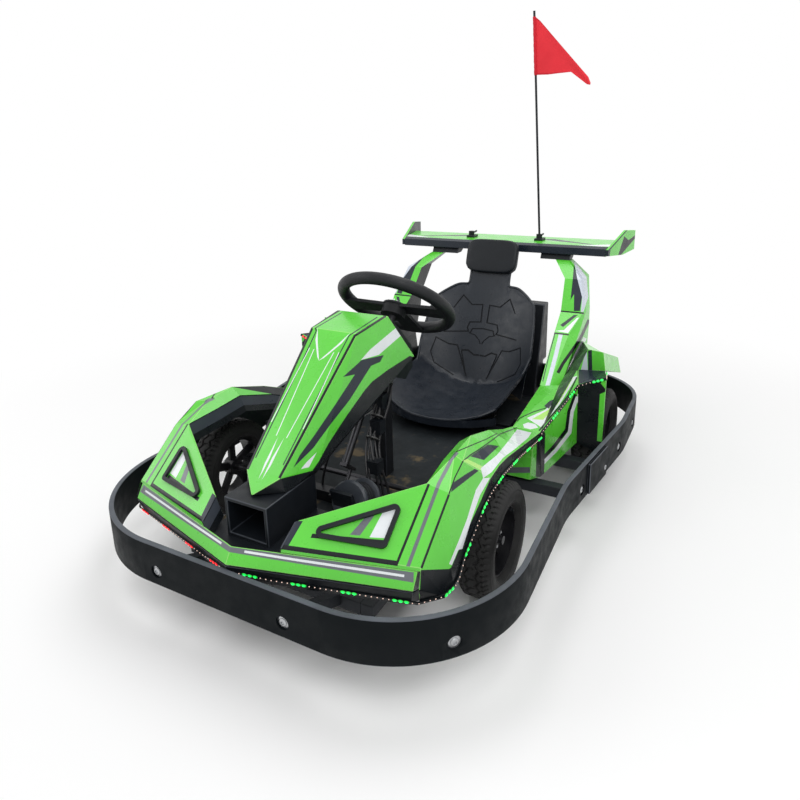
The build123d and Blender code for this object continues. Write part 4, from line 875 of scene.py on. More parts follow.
def ribbon_mesh(side):
    """The black strip: one flat section swept along the path."""
    work = bmesh.new()
    rings = []
    for point, along, across, outward in ribbon_frames(side):
        half = across * RIBBON_WIDTH / 2000
        wall = outward * RIBBON_WALL / 1000
        rings.append([point + half * s + wall * t for s, t in STRIP_SECTION])
    join_rings(work, rings)
    bmesh.ops.recalc_face_normals(work, faces=work.faces)
    return work


def dome(work, where, along, across, outward, size):
    """A low oval dome of a length, width and height, as a lamp or its silicone cover."""
    length, width, height = size
    rings = join_rings(work, [oval(where + outward * height * level, along * (length / 2 * share),
                                   across * (width / 2 * share), DOME_STEPS)
                              for level, share in DOME_LEVELS], ends="open")
    top = work.verts.new(where + outward * height)
    for k in range(DOME_STEPS):
        work.faces.new((rings[-1][k], rings[-1][(k + 1) % DOME_STEPS], top))
    work.faces.new(rings[0][::-1])


print("a lamp's core is", CORE[0] * 1000, "mm long")

# %% Ribbon, sparks and coloured lamps on both sides
LAMPS_IN_A_TURN = 9
COLOURED = (3, 4, 5)
FIRST_LAMP = 0.004
for side, hand, colour in ((1, "left", "lamp_green"), (-1, "right", "lamp_red")):
    show("lamp_ribbon_" + hand, ribbon_mesh(side), ["print_black"])
    frames = ribbon_frames(side)
    sparks, cores, covers = bmesh.new(), bmesh.new(), bmesh.new()
    travelled = FIRST_LAMP
    count = 0
    for (a, _, _, out_a), (b, _, _, out_b) in zip(frames, frames[1:]):
        along = (b - a).normalized()
        while travelled < (b - a).length:
            outward = out_a.lerp(out_b, travelled / (b - a).length)
            outward = (outward - along * outward.dot(along)).normalized()
            across = outward.cross(along)
            where = a + along * travelled + outward * (RIBBON_WALL / 1000)
            if count % LAMPS_IN_A_TURN in COLOURED:
                dome(cores, where, along, across, outward, CORE)
                dome(covers, where, along, across, outward, COVER)
            else:
                dome(sparks, where, along, across, outward, SPARK)
            travelled += LAMP_PITCH / 1000
            count += 1
        travelled -= (b - a).length
    show("lamp_sparks_" + hand, sparks, ["lamp_spark"])
    show("lamp_cores_" + hand, cores, [colour])
    show("lamp_covers_" + hand, covers, [colour + "_cover"])
    print(count, "lamps on the", hand)

# %% [markdown]
# The tyres are small pneumatic ones with a blocky tread. A bump texture would leave the tread's
# outline smooth, so the tread is real: one fine grid is turned round the axle, and wherever a
# groove runs, the grid sinks. Two zigzag grooves run round the tyre, slots cut the shoulders
# into blocks, and short sipes cross the middle. The sidewall has raised rings and no words.

# %% The tyre's section
BEAD_TO_SHOULDER = [
    # how far inside the tyre's flank, and the radius
    (16, 82.4), (5, 90), (2.5, 92), (2.8, 95), (1.2, 97), (0.2, 103), (0, 108), (0.4, 114),
    (1.6, 116), (1.8, 118), (1.0, 119.5), (3, 122), (6, 127), (9, 131), (13, 133.6),
]
CROWN_RADIUS = 136
CROWN_INSET = 14
CROWN_STEPS = 30
CROWN_DROP = 1.9


def tyre_section(half):
    """Half width and radius of the section from bead to bead."""
    side = [(half - inset, radius) for inset, radius in BEAD_TO_SHOULDER]
    crown = []
    for i in range(CROWN_STEPS + 1):
        x = (half - CROWN_INSET) * (1 - 2 * i / CROWN_STEPS)
        crown.append((x, CROWN_RADIUS - CROWN_DROP * (abs(x) / half) ** 2.2))
    return side + crown + [(-x, radius) for x, radius in side[::-1]]


print("the section has", len(tyre_section(42)), "points")

# %% Tyres with real tread
TREAD_STEPS = 420
TREAD_TURNS = 30
TREAD_EDGE = 126
GROOVE_DEPTH = 4.0
ZIGZAG_LINES, ZIGZAG_SWING, ZIGZAG_HALF_WIDTH = (-0.30, 0.30), 4.5, 2.6
SLOT_FROM, SLOT_SHARE, SLOT_LEAN, SLOT_RAMP = 0.52, 0.26, 0.12, 6
SIPE_TO, SIPE_SHARE, SIPE_DEPTH = 0.16, 0.12, 0.7


def tread_sink(turn, x, radius, half):
    """How far the tread lies below the crown: zigzag grooves, shoulder slots, short sipes."""
    sink = 0.0
    if radius <= TREAD_EDGE:
        return sink
    wave = 4 * abs((turn * TREAD_TURNS) % 1 - 0.5) - 1
    if any(abs(x - half * line - wave * ZIGZAG_SWING) < ZIGZAG_HALF_WIDTH for line in ZIGZAG_LINES):
        sink = GROOVE_DEPTH
    slot = (turn * TREAD_TURNS * 2 + SLOT_LEAN * abs(x) / SLOT_RAMP) % 1
    if abs(x) > half * SLOT_FROM and slot < SLOT_SHARE:
        sink = GROOVE_DEPTH * min(1, (radius - TREAD_EDGE) / SLOT_RAMP)
    if abs(x) < half * SIPE_TO and (turn * TREAD_TURNS + 0.25) % 1 < SIPE_SHARE:
        sink = GROOVE_DEPTH * SIPE_DEPTH
    return sink


def tyre_mesh(centre, width):
    """A tyre turned about the axle, with sunk grooves."""
    section = tyre_section(width / 2)
    work = bmesh.new()
    rows = []
    for step in range(TREAD_STEPS):
        turn = step / TREAD_STEPS
        angle = math.tau * turn
        row = []
        for x, radius in section:
            reach = (radius - tread_sink(turn, x, radius, width / 2)) / 1000
            row.append(centre + Vector((x / 1000, reach * math.cos(angle), reach * math.sin(angle))))
        rows.append(row)
    join_rings(work, rows, ends="joined")
    bmesh.ops.recalc_face_normals(work, faces=work.faces)
    return work


TYRE_WIDTHS = {"front": 84, "rear": 92}
WHEELS = {}
for end, width in TYRE_WIDTHS.items():
    for hand in ("left", "right"):
        tyre_node = f"{end}_tyre_{hand}"
        wheel = f"{end}_wheel_{hand}"
        WHEELS[wheel] = sum(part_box(tyre_node), Vector()) / 2
        tyre = show(tyre_node + "_treaded", tyre_mesh(WHEELS[wheel], width), ["tyre"], wheel,
                    (tyre_node,), smooth=38)
        print(tyre.name, len(tyre.data.polygons), "faces")

# %% [markdown]
# The ring round the kart is bolted to the frame's stays. Each bolt sits in a shallow round
# pocket, so that nothing stands proud of the ring: a broad washer and a domed head with a sunk
# socket. The pocket is cut into the ring's own mesh in the way the prints are, then pushed in.

# %% A bolt with a washer and a socket
WASHER = [(12, 0), (13, 0.4), (13, 1.3), (12, 1.8)]
BOLT_HEAD = [(8.8, 1.8), (8.6, 3.0), (7.2, 4.4), (5.2, 5.0), (4.1, 5.0), (4.0, 2.6)]


def bolt(work, where, axis, size=1.0):
    """Washer, domed head and sunk socket, all turned about the bolt's axis."""
    for profile, steps in ((WASHER, 20), (BOLT_HEAD, 18)):
        turned(work, where, axis, [(radius * size, height * size) for radius, height in profile], steps)


print("a bolt's washer is", 2 * WASHER[1][0], "mm wide")

# %% A pocket in the ring
RING_BOLTS = [
    # x and y on the ring's outer face, and the way the face looks
    (-490, -610, (-0.75, -0.66, 0)), (-195, -750, (0, -1, 0)), (145, -750, (0, -1, 0)),
    (458, -646, (0.6, -0.8, 0)), (535, -8, (1, 0, 0)), (-535, -8, (-1, 0, 0)),
    (572, 286, (1, 0, 0)), (-572, 286, (-1, 0, 0)), (578, 480, (1, 0, 0)), (-578, 480, (-1, 0, 0)),
    (240, 760, (0, 1, 0)), (-240, 760, (0, 1, 0)), (0, 760, (0, 1, 0)),
]
RING_BOLT_HEIGHT = 145
POCKET_RADIUS = 0.015
POCKET_DEPTH = 0.0052
POCKET_STEPS = 20
POCKET_FINISH = 2
PROBE_FROM, PROBE_REACH = 0.2, 0.4
EYE_OFF_RING = 3


def sink(work, faces):
    """Draws a region out of its surface, and gives back the points to push in."""
    result = bmesh.ops.extrude_face_region(work, geom=with_borders(faces))
    left = [face for face in faces if face.is_valid]
    bmesh.ops.delete(work, geom=left, context="FACES")
    return [item for item in result["geom"] if isinstance(item, bmesh.types.BMVert)]


def pocket(work, x, y, facing):
    """Sinks a round pocket in the ring at a bolt's place; gives its floor and direction."""
    outward = Vector(facing).normalized()
    start = place(x, y, RING_BOLT_HEIGHT) + outward * PROBE_FROM
    hit, normal, _, _ = BVHTree.FromBMesh(work).ray_cast(start, -outward, PROBE_REACH)
    side = normal.orthogonal().normalized()
    corners = oval(hit, side * POCKET_RADIUS, normal.cross(side) * POCKET_RADIUS, POCKET_STEPS)
    cut_print(work, corners, hit + normal * EYE_OFF_RING, POCKET_FINISH, depth=0.01, facing=0.8)
    for vertex in sink(work, [face for face in work.faces if face.material_index == POCKET_FINISH]):
        vertex.co -= normal * POCKET_DEPTH
    for face in work.faces:
        face.material_index = min(face.material_index, 1)
    return hit - normal * POCKET_DEPTH, normal


print(len(RING_BOLTS), "bolts hold the ring")

# %% The ring with its sunk bolts
RING_EDGE_ROUND = 0.0016
UPWARD = 0.7
HALVES = {
    # half of the ring: the y between which its bolts lie
    "bumper_front": (-800, 25), "bumper_rear": (155, 800),
}
bolts = bmesh.new()
for node, (first, last) in HALVES.items():
    work = copy_of(node)
    soften(work, RING_EDGE_ROUND, round_finish=1)
    # The ring's upward faces, like its rounds, get a lighter black: partly wear, partly a painted highlight of the
    # lamps above.
    for face in work.faces:
        if face.normal.z > UPWARD:
            face.material_index = 1
    for x, y, facing in RING_BOLTS:
        if first <= y <= last:
            bolt(bolts, *pocket(work, x, y, facing))
    piece = show(node + "_bolted", work, ["bumper", "ring_worn", "bumper"], instead_of=(node,))
    print(node, len(piece.data.polygons), "faces")

# %% The joint plates and their bolts
PLATE_ROUND = 0.0018
PLATE_BOLT_Y = 142
PLATE_BOLT_SINK, PLATE_BOLT_SIZE = 0.002, 0.8
plates = copy_of("bumper_plates")
soften(plates, PLATE_ROUND, round_finish=1)
plate_tree = BVHTree.FromBMesh(plates)
for side in (1, -1):
    start = place(side * 800, PLATE_BOLT_Y, RING_BOLT_HEIGHT)
    hit, normal, _, _ = plate_tree.ray_cast(start, Vector((-side, 0, 0)))
    bolt(bolts, hit - normal * PLATE_BOLT_SINK, normal, PLATE_BOLT_SIZE)
show("joint_plates_softened", plates, ["bumper", "ring_worn"], instead_of=("bumper_plates",))
show("ring_bolts", bolts, ["steel"], smooth=35)
print("the ring has", len(RING_BOLTS) + 2, "bolts")

# %% [markdown]
# The seat is one blow-moulded shell with shallow grooves that break the back into plates. The
# grooves are real: each is cut as a stripe over the back and sunk by two millimetres, and its
# faces get a darker finish, a painted shade in the groove. Cutting leaves long thin faces, which
# shade badly, so the smooth normals of the uncut shell are noted first and given back to the cut
# one: the back stays smooth and only the grooves break it.

# %% Helpers for smooth normals
STEEP = 0.75
INTO_FACE = 0.05


def keep_normals(work, sharper_than):
    """Notes the smooth normals of a surface: a tree to find its faces, their corners and normals."""
    mesh = bpy.data.meshes.new("uncut")
    work.to_mesh(mesh)
    mesh.shade_smooth()
    mesh.set_sharp_from_angle(angle=math.radians(sharper_than))
    tree = BVHTree.FromPolygons([vertex.co.copy() for vertex in mesh.vertices],
                                [tuple(polygon.vertices) for polygon in mesh.polygons])
    corners = [[mesh.vertices[v].co.copy() for v in polygon.vertices] for polygon in mesh.polygons]
    normals = [[mesh.corner_normals[i].vector.copy() for i in polygon.loop_indices]
               for polygon in mesh.polygons]
    bpy.data.meshes.remove(mesh)
    return tree, corners, normals


def give_normals(piece, kept):
    """Shades a cut surface as the uncut one; its new walls, which stand across it, stay flat."""
    tree, corners, normals = kept
    mesh = piece.data
    mesh.shade_smooth()
    given = []
    for polygon in mesh.polygons:
        for v in polygon.vertices:
            point = mesh.vertices[v].co
            _, _, face, _ = tree.find_nearest(point.lerp(polygon.center, INTO_FACE))
            shares = poly_3d_calc(corners[face], point)
            smooth = sum((normal * share for normal, share in zip(normals[face], shares)), Vector())
            given.append(smooth.normalized() if smooth.dot(polygon.normal) > STEEP else polygon.normal)
    mesh.normals_split_custom_set(given)


print("a wall is what stands more than", round(math.degrees(math.acos(STEEP))), "degrees off")

# %% Grooves in the seat
SEAT_GROOVES = [
    # a line on the driver's right half of the back, mirrored to the left, and its width
    ([(-122, 660, 410), (-92, 687, 456), (-56, 681, 424), (-14, 686, 426), (-12, 663, 364),
      (-54, 658, 361), (-61, 649, 341), (-55, 646, 328), (-144, 616, 325)], 5),
    ([(-48, 644, 322), (-41, 651, 338), (0, 654, 342)], 5),
    ([(-53, 644, 323), (-28, 645, 316), (-10, 640, 300), (-3, 635, 287)], 4),
    ([(-176, 566, 255), (-166, 595, 305), (-120, 608, 281), (-88, 618, 277), (-36, 580, 172)], 5),
    ([(-176, 566, 255), (-160, 561, 216), (-84, 572, 172)], 4),
    ([(-72, 616, 259), (-46, 622, 261), (-22, 619, 246), (0, 618, 248)], 6),
    ([(-70, 615, 257), (-40, 582, 178)], 5),
]
# The grooves' faces get a darker black: painted shade in the grooves.
GROOVE_SINK = 0.0022
GROOVE_SHADED_FINISH = 1
seat = copy_of("seat_shell", join_flat=False)
uncut = keep_normals(seat, sharper_than=40)
for line, width in SEAT_GROOVES:
    stripe(seat, GROOVE_SHADED_FINISH, line, width, depth=0.03, facing=0.25)
grooves = [face for face in seat.faces if face.material_index == GROOVE_SHADED_FINISH]
for vertex in sink(seat, grooves):
    _, inward, _, _ = uncut[0].find_nearest(vertex.co)
    vertex.co -= inward * GROOVE_SINK
seat.normal_update()
seat_piece = show("seat_grooved", seat, ["seat_black", "seat_groove"], instead_of=("seat_shell",))
give_normals(seat_piece, uncut)
print(len(grooves), "faces sunk into the seat")

# %% [markdown]
# The cast rims keep their solid form and get what a mechanic would touch: four wheel nuts, the
# axle's end with its own large nut, and a rubber valve with its cap. Each is a turned profile,
# and six steps round instead of sixteen make it a nut. All of it turns with the wheel.

# %% Nuts, axle ends and valves
WHEEL_NUT = [(4.6, 0), (4.6, 3.2), (3.6, 4.2)]
AXLE_NUT = [(8.5, 0), (8.5, 4.0), (7.4, 5.0)]
AXLE_END = [(4.6, 0), (4.6, 7), (3.8, 8)]
VALVE = [(3.4, -8), (3.4, 4), (2.6, 5), (2.6, 10), (1.8, 11)]
SPOKE_FACE = 0.0125
NUT_CIRCLE = 0.016
AXLE_NUT_HEIGHT = 0.005
VALVE_PLACE = (0.022, 0.05, 0.052)
for wheel, centre in WHEELS.items():
    outward = Vector((1 if wheel.endswith("left") else -1, 0, 0))
    spoke_face = centre + outward * SPOKE_FACE
    steel, black = bmesh.new(), bmesh.new()
    for k in range(4):
        angle = math.tau * (k + 0.5) / 4
        nut_place = spoke_face + Vector((0, math.cos(angle), math.sin(angle))) * NUT_CIRCLE
        turned(steel, nut_place, outward, WHEEL_NUT, 6)
    turned(steel, spoke_face, outward, AXLE_NUT, 6)
    turned(steel, spoke_face + outward * AXLE_NUT_HEIGHT, outward, AXLE_END, 16)
    out, back, high = VALVE_PLACE
    turned(black, centre + outward * out + Vector((0, back, high)), outward, VALVE, 12)
    show(wheel + "_nuts", steel, ["steel"], wheel, smooth=35)
    show(wheel + "_valve", black, ["trim_black"], wheel, smooth=35)
print("hubs dressed on", len(WHEELS), "wheels")

# %% [markdown]
# The steering wheel's rim is foam, and its three spokes carry pale insets. The hub has a blank
# round pad with six screws. The joint of the solid model gives the wheel's middle and its axis,
# so the details stay on the wheel if it is moved. They ride on the steering body and turn with it.

# %% Steering wheel details
steering = next(joint for joint in frame["joints"] if joint["name"] == "steering_turn")
column_axis = Vector(steering["axis"])
wheel_middle = Vector(steering["pos_m"])
wheel_across = Vector((1, 0, 0))
wheel_up = column_axis.cross(wheel_across)
SPOKE_LIFT = -7
SIDE_INSET = [(52, -12), (118, -17), (124, 0), (118, 17), (52, 12)]
UPPER_INSET = [(-10, 55), (10, 55), (14, 118), (-14, 118)]
INSET_WALL, INSET_DRAW = 0.0016, 0.93
HUB_PAD = [(36, -3), (37, 0), (36, 3), (30, 6), (18, 7.6), (6, 8)]
HUB_SCREW = [(2.6, 0), (2.6, 2.2), (1.6, 3)]
SCREW_CIRCLE, SCREW_LIFT = 27, -1.5


def on_wheel(across, upward, lift=SPOKE_LIFT):
    """A point on the steering wheel: across it, up it, and off its plane, in millimetres."""
    return wheel_middle + (wheel_across * across + wheel_up * upward + column_axis * lift) / 1000


def inset(work, corners):
    """A flat plate on the spokes over an outline, with its top edge drawn in a little."""
    middle = sum(corners, Vector()) / len(corners)
    top = [middle + (point - middle) * INSET_DRAW + column_axis * INSET_WALL for point in corners]
    join_rings(work, [corners, top])
    bmesh.ops.recalc_face_normals(work, faces=work.faces)


insets, pad, screws = bmesh.new(), bmesh.new(), bmesh.new()
for side in (1, -1):
    inset(insets, [on_wheel(side * x, y) for x, y in SIDE_INSET])
inset(insets, [on_wheel(x, y) for x, y in UPPER_INSET])
turned(pad, on_wheel(0, 0), column_axis, HUB_PAD, 28)
for k in range(6):
    angle = math.tau * k / 6
    screw_place = on_wheel(SCREW_CIRCLE * math.cos(angle), SCREW_CIRCLE * math.sin(angle), SCREW_LIFT)
    turned(screws, screw_place, column_axis, HUB_SCREW, 10)
show("spoke_insets", insets, ["steel_satin"], "steering")
show("hub_pad", pad, ["trim_black"], "steering", smooth=40)
show("hub_screws", screws, ["steel"], "steering", smooth=35)
show("steering_wheel_smooth", copy_of("steering_wheel"), ["wheel_grip"], "steering",
     ("steering_wheel",), smooth=30)
print("the steering wheel turns about", [round(value, 3) for value in column_axis])

# %% [markdown]
# Under the cowl hang the wires: a loom comes down the post from the dash, bulges at its
# connectors, and runs to the floor. Tubes swept along smooth lines make them, each a little
# different. Ribbed rubber bellows sit behind the pedal plates.

# %% A swept tube and a box
CURVE_STEPS = 8


def smooth_line(points):
    """Points on a smooth curve through the given ones."""
    path = []
    for i in range(len(points) - 1):
        before = points[max(0, i - 1)]
        here, after = points[i], points[i + 1]
        beyond = points[min(len(points) - 1, i + 2)]
        for k in range(CURVE_STEPS):
            t = k / CURVE_STEPS
            path.append(0.5 * ((2 * here) + (after - before) * t
                               + (2 * before - 5 * here + 4 * after - beyond) * t * t
                               + (3 * here - before - 3 * after + beyond) * t * t * t))
    path.append(points[-1])
    return path


def tube(work, points, radius, steps=8):
    """A round tube swept along a smooth curve."""
    path = smooth_line([place(*point) for point in points])
    side = None
    rings = []
    for i, point in enumerate(path):
        along = (path[min(i + 1, len(path) - 1)] - path[max(i - 1, 0)]).normalized()
        side = along.orthogonal() if side is None else side - along * side.dot(along)
        side.normalize()
        rings.append(oval(point, side * (radius / 1000), along.cross(side) * (radius / 1000), steps))
    join_rings(work, rings)


def block(work, low, high):
    """A closed box between two corners of the drawing."""
    (x, y, z), (far_x, far_y, far_z) = low, high
    rings = [[place(a, b, c) for a, b in ((x, y), (far_x, y), (far_x, far_y), (x, far_y))]
             for c in (z, far_z)]
    join_rings(work, rings)


print("helpers for tubes and boxes are ready")

# %% Wires, plugs and ties
WIRES = [
    # radius of a wire, and its points from the dash down beside the column to the floor
    (3.6, [(28, -128, 440), (36, -168, 390), (30, -206, 340), (42, -240, 290), (66, -268, 240),
           (84, -280, 180), (90, -284, 118)]),
    (3.0, [(38, -124, 436), (48, -160, 385), (40, -200, 335), (52, -236, 285), (76, -262, 230),
           (92, -272, 170), (98, -276, 118)]),
    (2.6, [(30, -136, 430), (40, -178, 372), (50, -216, 318), (44, -250, 272), (60, -282, 222),
           (74, -296, 170), (82, -300, 118)]),
    (3.4, [(44, -118, 430), (56, -158, 372), (58, -198, 320), (62, -232, 270), (84, -256, 216),
           (104, -262, 160), (108, -266, 118)]),
    (2.8, [(26, -150, 420), (36, -196, 350), (30, -228, 305), (40, -262, 262), (58, -290, 212),
           (70, -302, 160), (74, -306, 118)]),
    (3.2, [(-30, -128, 438), (-38, -170, 385), (-34, -212, 330), (-46, -246, 280), (-70, -272, 226),
           (-86, -280, 165), (-90, -282, 118)]),
]
PLUGS = [
    # two corners of each connector on the wires
    ((26, -192, 350), (52, -162, 388)), ((34, -228, 296), (64, -200, 332)),
    ((54, -282, 212), (86, -252, 246)), ((-50, -222, 316), (-28, -198, 350)),
    ((70, -306, 120), (98, -274, 140)),
]
PLUG_ROUND = 0.0025
TIES = [(42, -150, 412), (44, -208, 338), (48, -240, 290)]
TIE = [(18, -2), (19, -1), (19, 1), (18, 2)]
wires, plugs, ties = bmesh.new(), bmesh.new(), bmesh.new()
for radius, points in WIRES:
    tube(wires, points, radius)
for low, high in PLUGS:
    block(plugs, low, high)
soften(plugs, PLUG_ROUND)
for point in TIES:
    turned(ties, place(*point), column_axis, TIE)
show("wiring", wires, ["wire_black"], smooth=40)
show("wire_plugs", plugs, ["trim_black", "trim_worn"])
show("wire_ties", ties, ["wire_tie"], smooth=40)
print(len(WIRES), "wires,", len(PLUGS), "plugs and", len(TIES), "ties")

# %% Bellows behind the pedals
BELLOW_AXIS = Vector((0, 0.93, -0.36))
BELLOW_BASE = (116, -458, 244)
BELLOW_CAP = [(42, -8), (46, -4), (46, 3), (40, 6)]
BELLOW_REAR_CAP = [(42, -2), (45, 0), (45, 5), (38, 8)]
BELLOW_LENGTH = 0.058
RIB_COUNT, RIB_PITCH = 6, 10
RIB = [(37, 0), (37, 3), (30, 5), (30, 8)]
ribs = [(radius, RIB_PITCH * k + height) for k in range(RIB_COUNT) for radius, height in RIB]
bellows, bellow_caps = bmesh.new(), bmesh.new()
for side in (1, -1):
    x, y, z = BELLOW_BASE
    base = place(side * x, y, z)
    turned(bellows, base, BELLOW_AXIS, ribs, 28)
    turned(bellow_caps, base, BELLOW_AXIS, BELLOW_CAP, 28)
    turned(bellow_caps, base + BELLOW_AXIS * BELLOW_LENGTH, BELLOW_AXIS, BELLOW_REAR_CAP, 28)
show("pedal_bellows", bellows, ["bellows_rubber"], smooth=50)
# The caps get the lighter black of the painted highlight.
show("pedal_bellow_caps", bellow_caps, ["trim_worn"], smooth=35)
print("each of the bellows has", RIB_COUNT, "ribs")

# %% [markdown]
# A folded shell shows its thickness only where it has an inner flank. The nose wings and the
# arms have one: a strip that hangs from the inner edge, slate above and black below. Black
# sheets close the floor beside the floor pan and under the seat's rear corners.

# %% Inner flanks
FLANK_TOP = [
    # points of the shell's inner edge, from the nose to the end of the arm
    (104, -690, 260), (106, -644, 292), (329, -496, 357), (322, -402, 364), (322, -315, 369),
    (318, -190, 328), (304, -52, 268),
]
FLANK_DROPS = [0, 24, 40]
FLANK_LEAN = 0.45
FLANK_WALL = 2.5
flanks = bmesh.new()
for side in (1, -1):
    rows = []
    for x, y, z in FLANK_TOP:
        rows.append([[flanks.verts.new(place(side * (x - shift - drop * FLANK_LEAN), y, z - drop))
                      for drop in FLANK_DROPS]
                     for shift in (0, -FLANK_WALL)])
    for (near_a, far_a), (near_b, far_b) in zip(rows, rows[1:]):
        for k in range(len(FLANK_DROPS) - 1):
            for a, b in ((near_a, near_b), (far_a, far_b)):
                flanks.faces.new((a[k], a[k + 1], b[k + 1], b[k])).material_index = k
        flanks.faces.new((near_a[0], near_b[0], far_b[0], far_a[0]))
        flanks.faces.new((near_a[-1], near_b[-1], far_b[-1], far_a[-1])).material_index = 1
    for near, far in (rows[0], rows[-1]):
        flanks.faces.new((*near, *far[::-1])).material_index = 1
bmesh.ops.recalc_face_normals(flanks, faces=flanks.faces)
show("inner_flanks", flanks, ["flank_slate", "print_black"])
print("the flanks hang", FLANK_DROPS[-1], "mm down")

# %% Side floor sheets
pan_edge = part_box("floor_pan")[1].x * 1000 + 1
SHEETS = [
    # inner and outer x, front and rear y: beside the floor pan, and round the motors
    (pan_edge, 300, -20, 318), (152, 220, 332, 407), (100, 220, 407, 600),
]
SHEET_LOW, SHEET_HIGH = 119.5, 122
sheets = bmesh.new()
for side in (1, -1):
    for near_x, far_x, front_y, rear_y in SHEETS:
        block(sheets, (side * near_x, front_y, SHEET_LOW), (side * far_x, rear_y, SHEET_HIGH))
bmesh.ops.recalc_face_normals(sheets, faces=sheets.faces)
show("side_floor_sheets", sheets, ["floor_black"])
print("the side sheets start at x", round(pan_edge), "mm")

# %% [markdown]
# The seat's edge is rolled over, which stiffens the shell and keeps it from cutting the driver.
# A tube along the edge makes the roll: its points are found by looking at the seat from the
# front along the back, and from above along the pan. The headrest is a hollow moulded block
# with rounded corners, built as rings of a rounded rectangle that shrink as they rise.

# %% The rolled edge
BACK_EDGE = [
    # x and height along the back's outline, from the top down
    (0, 646), (40, 646), (74, 646), (89, 640), (93, 626), (93, 580), (92, 562), (84, 553), (77, 545),
    (76.5, 520), (77.5, 506), (84, 498.5), (118, 495), (152, 478), (184, 456), (193, 446), (201, 412),
    (209, 360), (213, 310), (213.5, 280),
]
PAN_EDGE = [
    # x and y along the pan's outline, to its front
    (203, 500), (203, 440), (202, 380), (201, 320), (198, 270), (185, 250), (150, 225), (100, 199),
    (50, 184), (0, 179.5),
]
seat_tree = BVHTree.FromPolygons([vertex.co.copy() for vertex in nodes["seat_shell"].data.vertices],
                                 [tuple(polygon.vertices) for polygon in nodes["seat_shell"].data.polygons])
EDGE_RADIUS = 4.6
JUST_INSIDE = 0.985
TUBE_SINK = 3
half_edge = []
for x, height in BACK_EDGE:
    hit, _, _, _ = seat_tree.ray_cast(place(x * JUST_INSIDE, 100, height - 2), Vector((0, 1, 0)))
    half_edge.append((x, hit.y * 1000 - MARK_Y + TUBE_SINK, height))
for x, y in PAN_EDGE:
    hit, _, _, _ = seat_tree.ray_cast(place(x * JUST_INSIDE, y + 2, 600), Vector((0, 0, -1)))
    half_edge.append((x, y, hit.z * 1000 - TUBE_SINK))
roll = bmesh.new()
tube(roll, [(-x, y, z) for x, y, z in half_edge[::-1]] + half_edge[1:], EDGE_RADIUS, 10)
show("seat_rolled_edge", roll, ["seat_black"], smooth=60)
print("the rolled edge has", 2 * len(half_edge) - 1, "points")

# %% The headrest
HEADREST_HALF_WIDTH, HEADREST_HALF_HEIGHT = 99.0, 63.0
HEADREST_STEPS = 72
SQUARENESS = 5.0
HEADREST_NARROWING, NARROW_BELOW = 0.16, 0.55
headrest_across = Vector((1, 0, 0))
headrest_up = Vector((0, 0.341, 0.940))
headrest_out = Vector((0, -0.940, 0.341))
headrest_middle = place(0, 741, 601)
HEADREST_RINGS = [
    # share of the outline, height over the seat in millimetres
    (1.0, -6), (1.0, 8), (0.99, 12), (0.965, 15), (0.92, 16.8), (0.85, 17.6), (0.7, 18.2),
    (0.45, 18.6), (0.2, 18.8),
]


def rounded(turn):
    """A point of a rectangle with very round corners, one wide and one high."""
    across, upward = math.cos(turn), math.sin(turn)
    reach = (abs(across) ** SQUARENESS + abs(upward) ** SQUARENESS) ** (-1 / SQUARENESS)
    return across * reach, upward * reach


def headrest_point(turn, share, lift):
    """A point of the headrest: round its outline, which is narrower below, and off the seat."""
    across, upward = rounded(turn)
    narrow = 1.0 - HEADREST_NARROWING * max(0.0, -upward - NARROW_BELOW)
    return headrest_middle + (headrest_across * across * narrow * HEADREST_HALF_WIDTH * share
                              + headrest_up * upward * HEADREST_HALF_HEIGHT * share
                              + headrest_out * lift) / 1000


headrest = bmesh.new()
join_rings(headrest, [[headrest_point(math.tau * k / HEADREST_STEPS, share, lift)
                       for k in range(HEADREST_STEPS)] for share, lift in HEADREST_RINGS])
bmesh.ops.recalc_face_normals(headrest, faces=headrest.faces)
show("headrest_block", headrest, ["trim_black"], smooth=50)
print("the headrest stands", HEADREST_RINGS[-1][1], "mm off the seat")

# %% [markdown]
# The flag is light woven cloth on a thin mast. Its sleeve grips the mast, and the fly end droops
# and rolls a little in still air. A grid between the upper and the lower edge, with shallow
# folds that deepen away from the mast, makes one continuous sheet, and the rows along both
# edges get the darker finish of a turned hem. The sleeve is a creased tube round the mast.

# %% The cloth
FLAG_UPPER = [(97.5, 1435), (114, 1421), (158, 1372), (225, 1298), (291, 1225), (300, 1204)]
FLAG_LOWER = [(109, 1243), (150, 1241.5), (190, 1243.5), (230, 1245), (287, 1201), (300, 1198)]
FLAG_FOLD = 7.0
FLAG_COLUMNS, FLAG_ROWS = 60, 36
flag_low, flag_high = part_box("flag")
FLAG_Y = (flag_low.y + flag_high.y) * 500 - MARK_Y


def along_edge(corners, share):
    """The point at a share of the way along an edge of the flag, out from the mast."""
    steps = len(corners) - 1
    here = min(int(share * steps), steps - 1)
    part = share * steps - here
    (ax, az), (bx, bz) = corners[here], corners[here + 1]
    return ax + (bx - ax) * part, az + (bz - az) * part


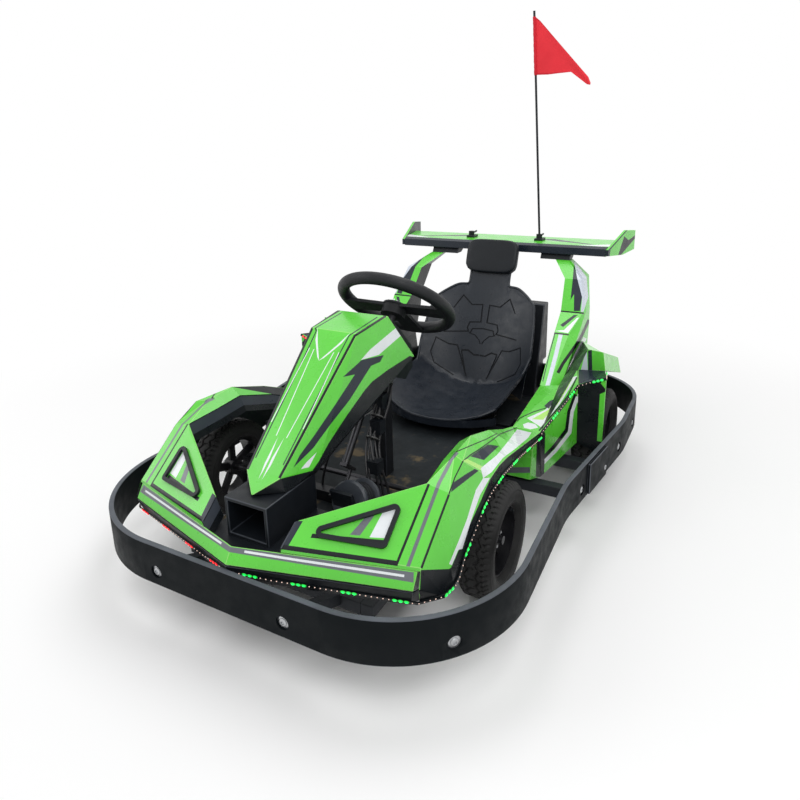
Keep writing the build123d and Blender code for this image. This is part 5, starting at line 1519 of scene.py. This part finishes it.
def flag_point(u, v):
    """A point of the cloth, out from the mast and down it, lifted by the folds."""
    (ux, uz), (lx, lz) = along_edge(FLAG_UPPER, u), along_edge(FLAG_LOWER, u)
    wave = 0.5 * math.sin(3.1 * u + 0.9 * v) + 0.5 * math.sin(7.0 * u - 4.2 * v + 0.6)
    lift = FLAG_FOLD * u * wave * math.sin(math.pi * min(1.0, 1.4 - u) / 2)
    return place(ux + (lx - ux) * v, FLAG_Y + lift, uz + (lz - uz) * v)


cloth = bmesh.new()
grid = [[cloth.verts.new(flag_point(i / FLAG_COLUMNS, j / FLAG_ROWS)) for j in range(FLAG_ROWS + 1)]
        for i in range(FLAG_COLUMNS + 1)]
for near, far in zip(grid, grid[1:]):
    for j in range(FLAG_ROWS):
        face = cloth.faces.new((near[j], far[j], far[j + 1], near[j + 1]))
        face.material_index = int(j in (0, FLAG_ROWS - 1))
cloth_area = sum(face.calc_area() for face in cloth.faces)
flag = show("flag_cloth", cloth, ["flag_red", "flag_hem"], instead_of=("flag",), smooth=180)
print("cloth in the flag:", round(cloth_area, 4), "square metres")

# %% The sleeve on the mast
SLEEVE_TOP, SLEEVE_LENGTH = 1436, 194
SLEEVE_RINGS, SLEEVE_STEPS = 40, 16
SLEEVE_RADIUS = 5.3
MAST_TOP, MAST_TOP_X, MAST_LEAN = 1455, 92, 46 / 805
rings = []
for k in range(SLEEVE_RINGS + 1):
    height = SLEEVE_TOP - SLEEVE_LENGTH * k / SLEEVE_RINGS
    radius = (SLEEVE_RADIUS + 0.35 * math.sin(k * 1.7) + 0.25 * math.sin(k * 0.7)) / 1000
    middle = place(MAST_TOP_X + (MAST_TOP - height) * MAST_LEAN, FLAG_Y, height)
    rings.append(oval(middle, Vector((radius, 0, 0)), Vector((0, radius, 0)), SLEEVE_STEPS))
sleeve = bmesh.new()
join_rings(sleeve, rings)
bmesh.ops.recalc_face_normals(sleeve, faces=sleeve.faces)
sleeve_piece = show("flag_sleeve", sleeve, ["flag_hem"], smooth=60)
print("the sleeve is", SLEEVE_LENGTH, "mm long")
